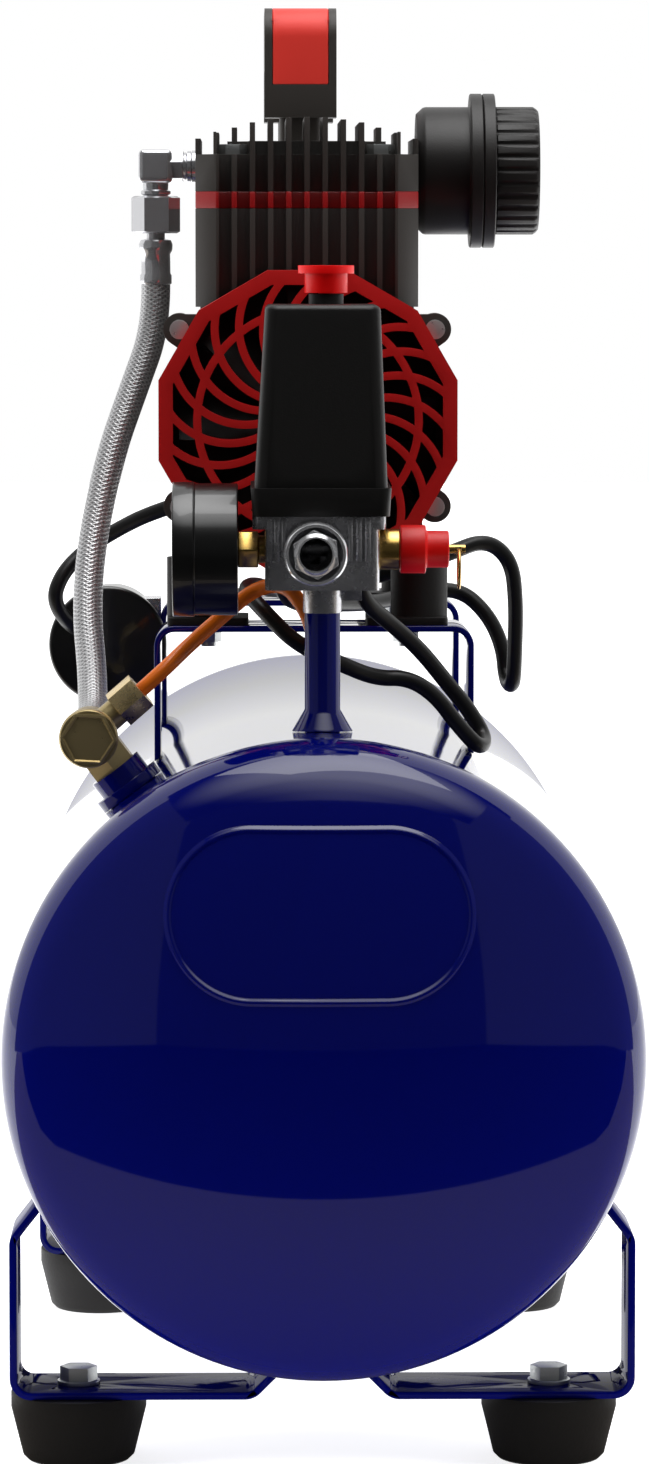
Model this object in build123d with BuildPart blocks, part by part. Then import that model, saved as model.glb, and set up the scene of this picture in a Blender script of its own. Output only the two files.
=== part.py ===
from build123d import *
import os
from math import acos, atan2, cos, degrees, pi, radians, sin, sqrt, tan

# Direct-drive piston air compressor on a horizontal air receiver.
# Millimetres. +X right, +Y to the rear, +Z up, seen from the pressure-switch end.
# Origin: the floor under the middle of the receiver.

# ---------------------------------------------------------------- driving sizes
tank_diameter = 250.0
tank_barrel_length = 450.0
tank_wall = 2.5
tank_knuckle = 25.0
tank_ground_gap = 43.7

foot_height = 27.0
foot_top_diameter = 54.0
foot_bottom_diameter = 44.6
foot_spread = 94.0
foot_shift = -3.2
foot_station = 162.0
foot_strip_width = 40.0
foot_strip_thickness = 3.0
foot_bolt_radius = 4.0

bracket_rise = 35.6
bracket_half_width = 64.9
bracket_strip_width = 40.0
bracket_thickness = 2.5
front_bracket_y = -85.0
rear_bracket_y = 80.0

pump_x = -5.0
pump_rise = 83.7
cylinder_y = -38.0
block_size = 91.0
block_depth = 92.0
fin_count = 13
fin_pitch = 7.4
fin_thickness = 2.2
cylinder_bore_radius = 27.5
stroke = 21.0
crankcase_radius = 46.0
motor_radius = 50.0
motor_length = 130.0
shaft_radius = 7.5
guard_circumradius = 62.2
guard_depth = 32.0

switch_x = -0.8
switch_y = -172.0
switch_width = 54.6
switch_depth = 72.0
post_y = -180.0
post_radius = 7.0
post_height = 46.0
gauge_radius = 26.4
coupler_bore_radius = 6.35
cord_diameter = 6.5
hose_diameter = 12.0
unloader_diameter = 6.0

# ---------------------------------------------------------------- clearances
weld_gap = 0.05
running_gap = 0.06
loose_gap = 0.3

# ---------------------------------------------------------------- derived places
tank_radius = tank_diameter / 2
tank_z = tank_ground_gap + tank_radius
tank_top = tank_z + tank_radius
half_barrel = tank_barrel_length / 2
bracket_top = tank_top + bracket_rise
pump_z = bracket_top + pump_rise
eccentricity = stroke / 2

block_bottom = pump_z + 45.0
block_top = block_bottom + 40.0
band_top = block_top + 7.0
head_deck = band_top + 15.0
head_side = block_size / 2
block_front = cylinder_y - block_depth / 2
block_rear = cylinder_y + block_depth / 2

crankcase_front = block_front - 4.0
crankcase_rear = block_rear
wall_width = 11.0
motor_front = crankcase_rear
motor_rear = motor_front + motor_length
shaft_axis = Axis((pump_x, 0, pump_z), (0, 1, 0))
tank_axis = Axis((0, 0, tank_z), (0, 1, 0))

post_top = tank_top + post_height
port_z = tank_top + 70.8
manifold_bottom = post_top + 9.5
switch_floor = tank_top + 84.8
cover_bottom = switch_floor + 11.0
cover_top = cover_bottom + 70.5

parts = []


def finish(builder, name):
    """Label one finished piece and queue it for writing."""
    builder.part.label = name
    parts.append(builder.part)


def hexagon_radius(across_flats):
    return across_flats / 2 / cos(radians(30))


def tank_solid(radius):
    """A plain bar along the receiver's axis, to trim what stands on the shell."""
    bar = Cylinder(radius, 3 * tank_barrel_length, rotation=(90, 0, 0), mode=Mode.PRIVATE)
    return bar.moved(Location((0, 0, tank_z)))


def bend_radii(points):
    """Radius of the tangent arc at each corner: as large as its two runs allow."""
    radii = []
    vectors = [Vector(*p) for p in points]
    for before, corner, after in zip(vectors, vectors[1:], vectors[2:]):
        run_in = corner - before
        run_out = after - corner
        half_turn = radians(run_in.get_angle(run_out)) / 2
        radii.append(0.45 * min(run_in.length, run_out.length) / tan(half_turn))
    return radii


def report_cord(name, builder, length, diameter, radii):
    ratio = builder.part.volume / (length * pi * diameter ** 2 / 4)
    print(f"{name}: length {length:.0f}, smallest radius {min(radii):.1f}, volume ratio {ratio:.4f}")
    print("  radii", [round(r, 1) for r in radii])


# ---------------------------------------------------------------- air receiver
boss_tilt = 37.0
boss_y = -168.0
boss_radius = 11.0
boss_stand = 11.0
boss_bore = 8.2
boss_direction = Vector(-sin(radians(boss_tilt)), 0, cos(radians(boss_tilt)))
drain_boss_radius = 9.0
drain_boss_drop = 6.0
drain_bore = 4.1


def on_boss_axis(distance):
    """Plane across the slanted boss, at a distance from the receiver's axis."""
    origin = Vector(0, boss_y, tank_z) + boss_direction * distance
    return Plane(origin=origin, x_dir=(0, 1, 0), z_dir=boss_direction)


with BuildPart() as tank_shell:
    with BuildSketch(Plane.XZ.offset(-half_barrel)):
        with Locations((0, tank_z)):
            Circle(tank_radius)
            Circle(tank_radius - tank_wall, mode=Mode.SUBTRACT)
    extrude(amount=tank_barrel_length)
    with BuildSketch(on_boss_axis(tank_radius - 12)):
        Circle(boss_radius + weld_gap)
    extrude(amount=24, mode=Mode.SUBTRACT)
    with BuildSketch(Plane.XY.offset(tank_top - 10)):
        with Locations((0, post_y)):
            Circle(post_radius + weld_gap)
    extrude(amount=20, mode=Mode.SUBTRACT)
    with BuildSketch(Plane.XY.offset(tank_ground_gap - 5)):
        Circle(drain_boss_radius + weld_gap)
    extrude(amount=15, mode=Mode.SUBTRACT)
finish(tank_shell, "tank_shell")

crown_radius = tank_diameter
crown_centre = sqrt((crown_radius - tank_knuckle) ** 2 - (tank_radius - tank_knuckle) ** 2)
tank_cap_depth = crown_radius - crown_centre
knuckle_angle = atan2(tank_radius - tank_knuckle, crown_centre)


def cap_outline(side, inset):
    """Corner, knuckle and crown points of one dished cap, inset by a wall."""
    knuckle = tank_knuckle - inset
    crown = crown_radius - inset
    seam = half_barrel
    middle = (pi / 2 + knuckle_angle) / 2
    ring = tank_radius - tank_knuckle
    points = [
        (seam, tank_radius - inset),
        (seam + knuckle * cos(middle), ring + knuckle * sin(middle)),
        (seam - crown_centre + crown * cos(knuckle_angle), crown * sin(knuckle_angle)),
        (seam - crown_centre + crown * cos(knuckle_angle / 2), crown * sin(knuckle_angle / 2)),
        (seam - crown_centre + crown, 0),
    ]
    return [(side * along, tank_z + across) for along, across in points]


for cap_side, cap_name in ((-1, "tank_cap_front"), (1, "tank_cap_rear")):
    outer = cap_outline(cap_side, 0)
    inner = cap_outline(cap_side, tank_wall)
    with BuildPart() as tank_cap:
        with BuildSketch(Plane.YZ):
            with BuildLine():
                ThreePointArc(outer[0], outer[1], outer[2])
                ThreePointArc(outer[2], outer[3], outer[4])
                Line(outer[4], inner[4])
                ThreePointArc(inner[4], inner[3], inner[2])
                ThreePointArc(inner[2], inner[1], inner[0])
                Line(inner[0], outer[0])
            make_face()
        revolve(axis=tank_axis)
    finish(tank_cap, cap_name)

with BuildPart() as tank_bosses:
    with BuildSketch(on_boss_axis(tank_radius - 4)):
        Circle(boss_radius + 3)
    extrude(amount=8)
    with BuildSketch(Plane.XY.offset(tank_ground_gap - 3)):
        Circle(drain_boss_radius + 3)
    extrude(amount=6)
    add(tank_solid(tank_radius + weld_gap), mode=Mode.SUBTRACT)
    with BuildSketch(on_boss_axis(tank_radius - 4)):
        Circle(boss_radius)
    extrude(amount=4 + boss_stand)
    with BuildSketch(Plane.XY.offset(tank_ground_gap - drain_boss_drop)):
        Circle(drain_boss_radius)
    extrude(amount=drain_boss_drop + 4)
    with BuildSketch(on_boss_axis(tank_radius - 6)):
        Circle(boss_bore)
    extrude(amount=20, mode=Mode.SUBTRACT)
    with BuildSketch(Plane.XY.offset(tank_ground_gap - 10)):
        Circle(drain_bore)
    extrude(amount=20, mode=Mode.SUBTRACT)
finish(tank_bosses, "tank_bosses")

with BuildPart() as tank_post:
    with BuildSketch(Plane.XY.offset(tank_top - 1.5)):
        with Locations((0, post_y)):
            Circle(post_radius + 5.5)
    with BuildSketch(Plane.XY.offset(tank_top + 8)):
        with Locations((0, post_y)):
            Circle(post_radius)
    loft()
    add(tank_solid(tank_radius + weld_gap), mode=Mode.SUBTRACT)
    with BuildSketch(Plane.XY.offset(tank_top - 6)):
        with Locations((0, post_y)):
            Circle(post_radius)
    extrude(amount=6 + post_height)
    with BuildSketch(Plane.XY.offset(tank_top - 10)):
        with Locations((0, post_y)):
            Circle(4.5)
    extrude(amount=post_height + 20, mode=Mode.SUBTRACT)
finish(tank_post, "tank_post")

# The drain screw turns in the boss under the receiver and stays above the floor.
drain_grip_radius = 8.0
with BuildPart() as drain_valve:
    with BuildSketch(Plane.XY.offset(tank_ground_gap - drain_boss_drop - 0.5)):
        Circle(drain_bore - running_gap)
    extrude(amount=11)
    with BuildSketch(Plane.XY.offset(tank_ground_gap - drain_boss_drop - 10.5)):
        Circle(drain_grip_radius)
        with PolarLocations(drain_grip_radius, 12):
            Circle(1.0, mode=Mode.SUBTRACT)
    extrude(amount=10)
    with BuildSketch(Plane.XY.offset(tank_ground_gap - 18)):
        Circle(1.5)
    extrude(amount=20, mode=Mode.SUBTRACT)
finish(drain_valve, "drain_valve")

# ---------------------------------------------------------------- foot brackets and feet
foot_plate_z = foot_height + foot_strip_thickness / 2
foot_leg_x = tank_radius - 1.0 - foot_strip_thickness / 2
foot_bend_drop = 77.5
foot_top_angle = radians(28)
foot_inner_x = 27.8
foot_places = [(foot_shift + sx * foot_spread, sy * foot_station) for sx in (-1, 1) for sy in (-1, 1)]


def foot_strip_path(side, station):
    """Centre line of one bent foot strip, from the receiver's side to its underside."""
    reach = tank_radius - 5
    points = [
        (reach * cos(foot_top_angle), tank_z - reach * sin(foot_top_angle)),
        (foot_leg_x, tank_z - foot_bend_drop),
        (foot_leg_x, foot_plate_z),
        (foot_inner_x, foot_plate_z),
        (foot_inner_x - 19, foot_plate_z + 19),
    ]
    return [(side * x, station, z) for x, z in points]


with BuildPart() as foot_brackets:
    for side in (-1, 1):
        for station in (-foot_station, foot_station):
            with BuildLine() as strip_path:
                FilletPolyline(*foot_strip_path(side, station), radius=7)
            start = strip_path.line @ 0
            with BuildSketch(Plane(origin=start, x_dir=(0, 1, 0), z_dir=strip_path.line % 0)):
                Rectangle(foot_strip_width, foot_strip_thickness)
            sweep(path=strip_path.line)
    add(tank_solid(tank_radius + weld_gap), mode=Mode.SUBTRACT)
    with BuildSketch(Plane.XY.offset(foot_height - 1)):
        with Locations(*foot_places):
            Circle(foot_bolt_radius + 0.3)
    extrude(amount=foot_strip_thickness + 2, mode=Mode.SUBTRACT)
finish(foot_brackets, "foot_brackets")

foot_shoulder = 6.0
with BuildPart() as rubber_feet:
    for place in foot_places:
        with BuildSketch(Plane(origin=(place[0], place[1], 0), x_dir=(1, 0, 0), z_dir=(0, -1, 0))):
            with BuildLine():
                Polyline(
                    (0, 0),
                    (foot_bottom_diameter / 2 - 2, 0),
                    (foot_bottom_diameter / 2, 2),
                    (foot_top_diameter / 2, foot_height - foot_shoulder),
                    (foot_top_diameter / 2, foot_height),
                    (foot_bolt_radius, foot_height),
                    (foot_bolt_radius, foot_height - 16),
                    (0, foot_height - 16),
                    close=True,
                )
            make_face()
        revolve(axis=Axis((place[0], place[1], 0), (0, 0, 1)))
finish(rubber_feet, "rubber_feet")

with BuildPart() as foot_bolts:
    with BuildSketch(Plane.XY.offset(foot_height - 15)):
        with Locations(*foot_places):
            Circle(foot_bolt_radius)
    extrude(amount=15 + foot_strip_thickness)
    with BuildSketch(Plane.XY.offset(foot_height + foot_strip_thickness)):
        with Locations(*foot_places):
            Circle(8.5)
    extrude(amount=1.4)
    with BuildSketch(Plane.XY.offset(foot_height + foot_strip_thickness + 1.4)):
        with Locations(*foot_places):
            RegularPolygon(hexagon_radius(13), 6)
    extrude(amount=5.6)
finish(foot_bolts, "foot_bolts")

# ---------------------------------------------------------------- pump brackets and mounts
bracket_x = -2.4
mount_offset = 45.7
mount_bolt_offset = 40.3
mount_radius = 11.6
mount_flange_thickness = 3.0
mount_height = 27.0
mount_top = bracket_top + mount_height
mount_bolt_radius = 3.0
mount_stud_drop = 9.5
mount_bolt_places = [
    (pump_x + side * mount_bolt_offset, station)
    for side in (-1, 1)
    for station in (front_bracket_y, rear_bracket_y)
]


def pump_bracket(station):
    """U-shaped strip standing on the receiver, trimmed to its curve."""
    half = bracket_half_width - bracket_thickness / 2
    foot = tank_z + sqrt(tank_radius ** 2 - (bracket_half_width + abs(bracket_x)) ** 2) - 3
    level = bracket_top - bracket_thickness / 2
    points = [
        (bracket_x - half, station, foot),
        (bracket_x - half, station, level),
        (bracket_x + half, station, level),
        (bracket_x + half, station, foot),
    ]
    with BuildPart() as bracket:
        with BuildLine() as path:
            FilletPolyline(*points, radius=7)
        with BuildSketch(Plane(origin=path.line @ 0, x_dir=(0, 1, 0), z_dir=path.line % 0)):
            Rectangle(bracket_strip_width, bracket_thickness)
        sweep(path=path.line)
        add(tank_solid(tank_radius + weld_gap), mode=Mode.SUBTRACT)
        with BuildSketch(Plane.XY.offset(bracket_top - 6)):
            with Locations(*mount_bolt_places):
                Circle(mount_bolt_radius + 0.3)
        extrude(amount=8, mode=Mode.SUBTRACT)
    return bracket


finish(pump_bracket(front_bracket_y), "pump_bracket_front")
finish(pump_bracket(rear_bracket_y), "pump_bracket_rear")

with BuildPart() as pump_mounts:
    for side in (-1, 1):
        for station in (front_bracket_y, rear_bracket_y):
            with BuildSketch(Plane.XY.offset(bracket_top)):
                with Locations((pump_x + side * 40.5, station)):
                    RectangleRounded(33, 36, 3)
            extrude(amount=mount_flange_thickness)
            with BuildSketch(Plane.XY.offset(bracket_top)):
                with Locations((pump_x + side * mount_offset, station)):
                    Circle(mount_radius)
            extrude(amount=mount_height)
    with BuildSketch(Plane.XY.offset(bracket_top)):
        with Locations(*mount_bolt_places):
            Circle(mount_bolt_radius)
    extrude(amount=11, mode=Mode.SUBTRACT)
finish(pump_mounts, "pump_mounts")

with BuildPart() as mount_bolts:
    with BuildSketch(Plane.XY.offset(bracket_top - mount_stud_drop)):
        with Locations(*mount_bolt_places):
            Circle(mount_bolt_radius)
    extrude(amount=mount_stud_drop + 10)
    with BuildSketch(Plane.XY.offset(bracket_top - bracket_thickness - 1.2)):
        with Locations(*mount_bolt_places):
            Circle(6)
    extrude(amount=1.2)
    with BuildSketch(Plane.XY.offset(bracket_top - bracket_thickness - 5.2)):
        with Locations(*mount_bolt_places):
            RegularPolygon(hexagon_radius(9), 6)
    extrude(amount=4)
finish(mount_bolts, "mount_bolts")

# ---------------------------------------------------------------- crankcase
ear_x = 52.0
ear_z = 36.0
ear_radius = 6.6
ear_flange = 12.0
cap_screw_radius = 2.5
ear_places = [(pump_x + sx * ear_x, pump_z + sz * ear_z) for sx in (-1, 1) for sz in (-1, 1)]
bearing_radius = 17.5
cavity_radius = 39.0
foot_bar_half = 47.0
foot_bar_depth = 24.0


def facing_front(station):
    """Plane across the shaft whose normal points to the rear (+Y)."""
    return Plane(origin=(0, station, 0), x_dir=(1, 0, 0), z_dir=(0, -1, 0))


with BuildPart() as crankcase:
    with BuildSketch(facing_front(crankcase_rear)):
        with Locations((pump_x, pump_z)):
            Circle(crankcase_radius)
    extrude(amount=crankcase_rear - crankcase_front)
    with BuildSketch(facing_front(crankcase_front + ear_flange)):
        with Locations((pump_x, pump_z)):
            Circle(guard_circumradius - 3.5)
            SlotCenterToCenter(2 * sqrt(ear_x ** 2 + ear_z ** 2), 2 * ear_radius,
                               rotation=degrees(atan2(ear_z, ear_x)))
            SlotCenterToCenter(2 * sqrt(ear_x ** 2 + ear_z ** 2), 2 * ear_radius,
                               rotation=-degrees(atan2(ear_z, ear_x)))
    extrude(amount=ear_flange)
    with BuildSketch(facing_front(crankcase_front + ear_flange)):
        with Locations((pump_x, pump_z + ear_z)):
            Rectangle(2 * ear_x, 2 * ear_radius - 1)
    extrude(amount=ear_flange)
    with BuildSketch(Plane.XY.offset(block_bottom - 22)):
        with Locations((pump_x, cylinder_y)):
            Rectangle(block_size - 4, block_depth)
    extrude(amount=22)
    with BuildSketch(Plane.XY.offset(mount_top)):
        with Locations((pump_x, (crankcase_front + front_bracket_y + foot_bar_depth / 2) / 2)):
            Rectangle(2 * foot_bar_half, front_bracket_y + foot_bar_depth / 2 - crankcase_front)
    extrude(amount=28)
    with BuildSketch(Plane.XY.offset(block_bottom)):
        with Locations((pump_x, cylinder_y)):
            Rectangle(2 * block_size, block_depth)
    extrude(amount=30, mode=Mode.SUBTRACT)
    with BuildSketch(facing_front(crankcase_rear - wall_width)):
        with Locations((pump_x, pump_z)):
            Circle(cavity_radius)
    extrude(amount=crankcase_rear - crankcase_front - 2 * wall_width, mode=Mode.SUBTRACT)
    with BuildSketch(facing_front(crankcase_rear + 1)):
        with Locations((pump_x, pump_z)):
            Circle(bearing_radius)
    extrude(amount=120, mode=Mode.SUBTRACT)
    with BuildSketch(Plane.XY.offset(pump_z)):
        with Locations((pump_x, cylinder_y)):
            Circle(cylinder_bore_radius + 1)
    extrude(amount=60, mode=Mode.SUBTRACT)
    with BuildSketch(facing_front(crankcase_front + ear_flange + 1)):
        with Locations(*ear_places):
            Circle(cap_screw_radius)
    extrude(amount=ear_flange + 2, mode=Mode.SUBTRACT)
finish(crankcase, "crankcase")

bearing_stations = [crankcase_front + wall_width, crankcase_rear, motor_rear - 1]
with BuildPart() as shaft_bearings:
    for station in bearing_stations:
        with BuildSketch(facing_front(station)):
            with Locations((pump_x, pump_z)):
                Circle(bearing_radius)
                Circle(shaft_radius + running_gap, mode=Mode.SUBTRACT)
        extrude(amount=wall_width - 1)
finish(shaft_bearings, "shaft_bearings")

# ---------------------------------------------------------------- finned cylinder and head
block_corner = 8.5
fin_depth = 5.0
head_bolt_spread = 30.3
head_bolt_radius = 3.0
head_bolt_pocket = 6.6
head_bolt_places = [
    (pump_x + sx * head_bolt_spread, cylinder_y + sy * head_bolt_spread)
    for sx in (-1, 1)
    for sy in (-1, 1)
]
groove_width = fin_pitch - fin_thickness
fin_offsets = [(i - (fin_count - 1) / 2) * fin_pitch for i in range(fin_count)]
groove_places = [
    (pump_x + offset + fin_pitch / 2, cylinder_y + side * (block_depth - fin_depth) / 2)
    for offset in fin_offsets[1:-2]
    for side in (-1, 1)
]
side_port_z = band_top + 8.8


def block_plan(level, height):
    """Chamfered rectangle that cylinder, band and head share, extruded upward."""
    with BuildSketch(Plane.XY.offset(level)) as plan:
        with Locations((pump_x, cylinder_y)):
            Rectangle(block_size, block_depth)
        chamfer(plan.vertices(), block_corner)
    extrude(plan.sketch, amount=height)


def cut_fin_grooves(level, height):
    with BuildSketch(Plane.XY.offset(level)) as grooves:
        with Locations(*groove_places):
            Rectangle(groove_width, fin_depth)
    extrude(grooves.sketch, amount=height, mode=Mode.SUBTRACT)


def cut_head_bolt_holes(level, height):
    with BuildSketch(Plane.XY.offset(level)) as holes:
        with Locations(*head_bolt_places):
            Circle(head_bolt_radius)
    extrude(holes.sketch, amount=height, mode=Mode.SUBTRACT)


with BuildPart() as cylinder_block:
    block_plan(block_bottom, block_top - block_bottom)
    cut_fin_grooves(block_bottom, block_top - block_bottom)
    cut_head_bolt_holes(block_top - 22, 22)
    with BuildSketch(Plane.XY.offset(block_bottom)):
        with Locations((pump_x, cylinder_y)):
            Circle(cylinder_bore_radius)
    extrude(amount=block_top - block_bottom, mode=Mode.SUBTRACT)
finish(cylinder_block, "cylinder_block")

with BuildPart() as valve_plate:
    block_plan(block_top, band_top - block_top)
    cut_fin_grooves(block_top, band_top - block_top)
    cut_head_bolt_holes(block_top, band_top - block_top)
    with BuildSketch(Plane.XY.offset(block_top)):
        with Locations((pump_x - 12, cylinder_y), (pump_x + 12, cylinder_y)):
            Circle(4)
    extrude(amount=band_top - block_top, mode=Mode.SUBTRACT)
finish(valve_plate, "valve_plate")

fin_peak = 15.0
fin_fall = 9.0
with BuildPart() as cylinder_head:
    block_plan(band_top, head_deck - band_top)
    cut_fin_grooves(band_top, head_deck - band_top)
    for offset in fin_offsets:
        fin_top = fin_peak - fin_fall * (offset / head_side) ** 2
        shrink = max(0, abs(offset) + fin_thickness / 2 - (head_side - block_corner))
        with BuildSketch(Plane.YZ.offset(pump_x + offset - fin_thickness / 2)):
            with Locations((cylinder_y, head_deck + fin_top / 2 - 0.5)):
                Rectangle(block_depth - 2 * shrink, fin_top + 1)
        extrude(amount=fin_thickness)
    with BuildSketch(Plane.XY.offset(head_deck - 1)):
        with Locations((pump_x, cylinder_y)):
            RectangleRounded(block_size - 26, block_depth - 22, 9)
    extrude(amount=6.5)
    with BuildSketch(Plane.XY.offset(head_deck)):
        with Locations(*head_bolt_places):
            Circle(head_bolt_pocket)
    extrude(amount=20, mode=Mode.SUBTRACT)
    with BuildSketch(Plane.XY.offset(head_deck)):
        with Locations(*[(x, y + (y - cylinder_y)) for x, y in head_bolt_places]):
            Rectangle(2 * head_bolt_pocket, 2 * head_bolt_spread)
    extrude(amount=20, mode=Mode.SUBTRACT)
    cut_head_bolt_holes(band_top, 30)
    with BuildSketch(Plane.XY.offset(band_top)):
        with Locations((pump_x - 13, cylinder_y), (pump_x + 13, cylinder_y)):
            Rectangle(18, 40)
    extrude(amount=11, mode=Mode.SUBTRACT)
    with BuildSketch(Plane.YZ.offset(pump_x - head_side - 1)):
        with Locations((cylinder_y, side_port_z)):
            Circle(4.5)
    extrude(amount=block_size + 2, mode=Mode.SUBTRACT)
finish(cylinder_head, "cylinder_head")

with BuildPart() as pump_bolts:
    with BuildSketch(Plane.XY.offset(block_top - 20)):
        with Locations(*head_bolt_places):
            Circle(head_bolt_radius)
    extrude(amount=head_deck - block_top + 20)
    with BuildSketch(Plane.XY.offset(head_deck)):
        with Locations(*head_bolt_places):
            RegularPolygon(hexagon_radius(10), 6)
    extrude(amount=4.2)
    with BuildSketch(facing_front(crankcase_front + ear_flange - 1)):
        with Locations(*ear_places):
            Circle(cap_screw_radius)
    extrude(amount=ear_flange - 1)
    with BuildSketch(facing_front(crankcase_front)):
        with Locations(*ear_places):
            Circle(3.9)
    extrude(amount=5)
finish(pump_bolts, "pump_bolts")

# ---------------------------------------------------------------- piston, rod and crankshaft
# At rest the crank is at top dead centre. The rod's big-end ring lies beside the
# eccentric, a small gap apart, and clears the shaft over the whole stroke.
piston_height = 22.0
piston_top = block_top - 0.6
pin_z = piston_top - 15.0
pin_radius = 5.0
rod_width = 10.0
eccentric_radius = 18.0
ring_bore = eccentric_radius + 0.6
ring_z = pump_z + eccentricity
eccentric_start = cylinder_y + rod_width / 2 + loose_gap
eccentric_width = 8.7
rotor_radius = 28.6

with BuildPart() as piston:
    with BuildSketch(Plane.XY.offset(piston_top - piston_height)):
        with Locations((pump_x, cylinder_y)):
            Circle(cylinder_bore_radius - running_gap - 0.2)
    extrude(amount=piston_height)
    with BuildSketch(Plane.XY.offset(piston_top - 6)):
        with Locations((pump_x, cylinder_y)):
            Circle(cylinder_bore_radius)
            Circle(cylinder_bore_radius - 3, mode=Mode.SUBTRACT)
    extrude(amount=2.5, mode=Mode.SUBTRACT)
    with BuildSketch(Plane.XY.offset(piston_top - piston_height)):
        with Locations((pump_x, cylinder_y)):
            Circle(21)
    extrude(amount=15, mode=Mode.SUBTRACT)
    with BuildSketch(facing_front(cylinder_y + 24)):
        with Locations((pump_x, pin_z)):
            Circle(pin_radius)
    extrude(amount=48, mode=Mode.SUBTRACT)
    with BuildSketch(Plane.XY.offset(piston_top - 5.9)):
        with Locations((pump_x, cylinder_y)):
            Circle(cylinder_bore_radius - running_gap)
            Circle(cylinder_bore_radius - 2.9, mode=Mode.SUBTRACT)
    extrude(amount=2.3)
finish(piston, "piston")

with BuildPart() as connecting_rod:
    with BuildSketch(facing_front(cylinder_y + rod_width / 2)):
        with Locations((pump_x, ring_z)):
            Circle(ring_bore + 5)
        with Locations((pump_x, (ring_z + pin_z) / 2)):
            Rectangle(9, pin_z - ring_z)
        with Locations((pump_x, pin_z)):
            Circle(pin_radius + 2.5)
        with Locations((pump_x, ring_z)):
            Circle(ring_bore, mode=Mode.SUBTRACT)
    extrude(amount=rod_width)
    with BuildSketch(facing_front(cylinder_y + 22)):
        with Locations((pump_x, pin_z)):
            Circle(pin_radius)
    extrude(amount=44)
finish(connecting_rod, "connecting_rod")

fan_front = crankcase_front - guard_depth + 8
with BuildPart() as crankshaft:
    with BuildSketch(facing_front(motor_rear - 1)):
        with Locations((pump_x, pump_z)):
            Circle(shaft_radius)
    extrude(amount=motor_rear - 1 - fan_front)
    with BuildSketch(facing_front(eccentric_start + eccentric_width)):
        with Locations((pump_x, ring_z)):
            Circle(eccentric_radius)
    extrude(amount=eccentric_width)
    with BuildSketch(facing_front(eccentric_start + eccentric_width)):
        with Locations((pump_x, pump_z)):
            Circle(28)
        with Locations((pump_x, pump_z + 30)):
            Rectangle(80, 60, mode=Mode.SUBTRACT)
    extrude(amount=eccentric_width)
finish(crankshaft, "crankshaft")

# ---------------------------------------------------------------- motor
motor_wall = 2.0
stator_length = 80.0
stator_start = motor_front + 20.0
air_gap = 0.6
with BuildPart() as motor_housing:
    with BuildSketch(facing_front(motor_rear)):
        with Locations((pump_x, pump_z)):
            Circle(motor_radius)
    extrude(amount=motor_length)
    with BuildSketch(Plane.XY.offset(mount_top)):
        with Locations((pump_x, rear_bracket_y)):
            Rectangle(2 * foot_bar_half, foot_bar_depth)
    extrude(amount=20)
    with BuildSketch(facing_front(motor_rear - wall_width)):
        with Locations((pump_x, pump_z)):
            Circle(motor_radius - motor_wall)
    extrude(amount=motor_length, mode=Mode.SUBTRACT)
    with BuildSketch(facing_front(motor_rear - 1)):
        with Locations((pump_x, pump_z)):
            Circle(bearing_radius)
    extrude(amount=wall_width, mode=Mode.SUBTRACT)
finish(motor_housing, "motor_housing")

with BuildPart() as motor_stator:
    with BuildSketch(facing_front(stator_start + stator_length)):
        with Locations((pump_x, pump_z)):
            Circle(motor_radius - motor_wall)
            Circle(rotor_radius + air_gap, mode=Mode.SUBTRACT)
    extrude(amount=stator_length)
    for start in (stator_start, stator_start + stator_length + 12):
        with BuildSketch(facing_front(start)):
            with Locations((pump_x, pump_z)):
                Circle(motor_radius - 7)
                Circle(rotor_radius + 3, mode=Mode.SUBTRACT)
        extrude(amount=12)
finish(motor_stator, "motor_stator")

with BuildPart() as motor_rotor:
    with BuildSketch(facing_front(stator_start + stator_length)):
        with Locations((pump_x, pump_z)):
            Circle(rotor_radius)
            Circle(shaft_radius, mode=Mode.SUBTRACT)
    extrude(amount=stator_length)
finish(motor_rotor, "motor_rotor")

# ---------------------------------------------------------------- fan and guard
fan_radius = 52.0
fan_width = 14.0
blade_count = 8
blade_pitch_angle = 38.0
with BuildPart() as cooling_fan:
    with BuildSketch(facing_front(fan_front + fan_width)):
        with Locations((pump_x, pump_z)):
            Circle(14)
            Circle(shaft_radius, mode=Mode.SUBTRACT)
    extrude(amount=fan_width)
    hub_plane = Plane(origin=(pump_x, fan_front + fan_width / 2, pump_z), x_dir=(1, 0, 0), z_dir=(0, -1, 0))
    with Locations(hub_plane):
        with PolarLocations((12 + fan_radius) / 2, blade_count):
            Box(fan_radius - 12, 22, 1.8, rotation=(blade_pitch_angle, 0, 0))
finish(cooling_fan, "cooling_fan")

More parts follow.
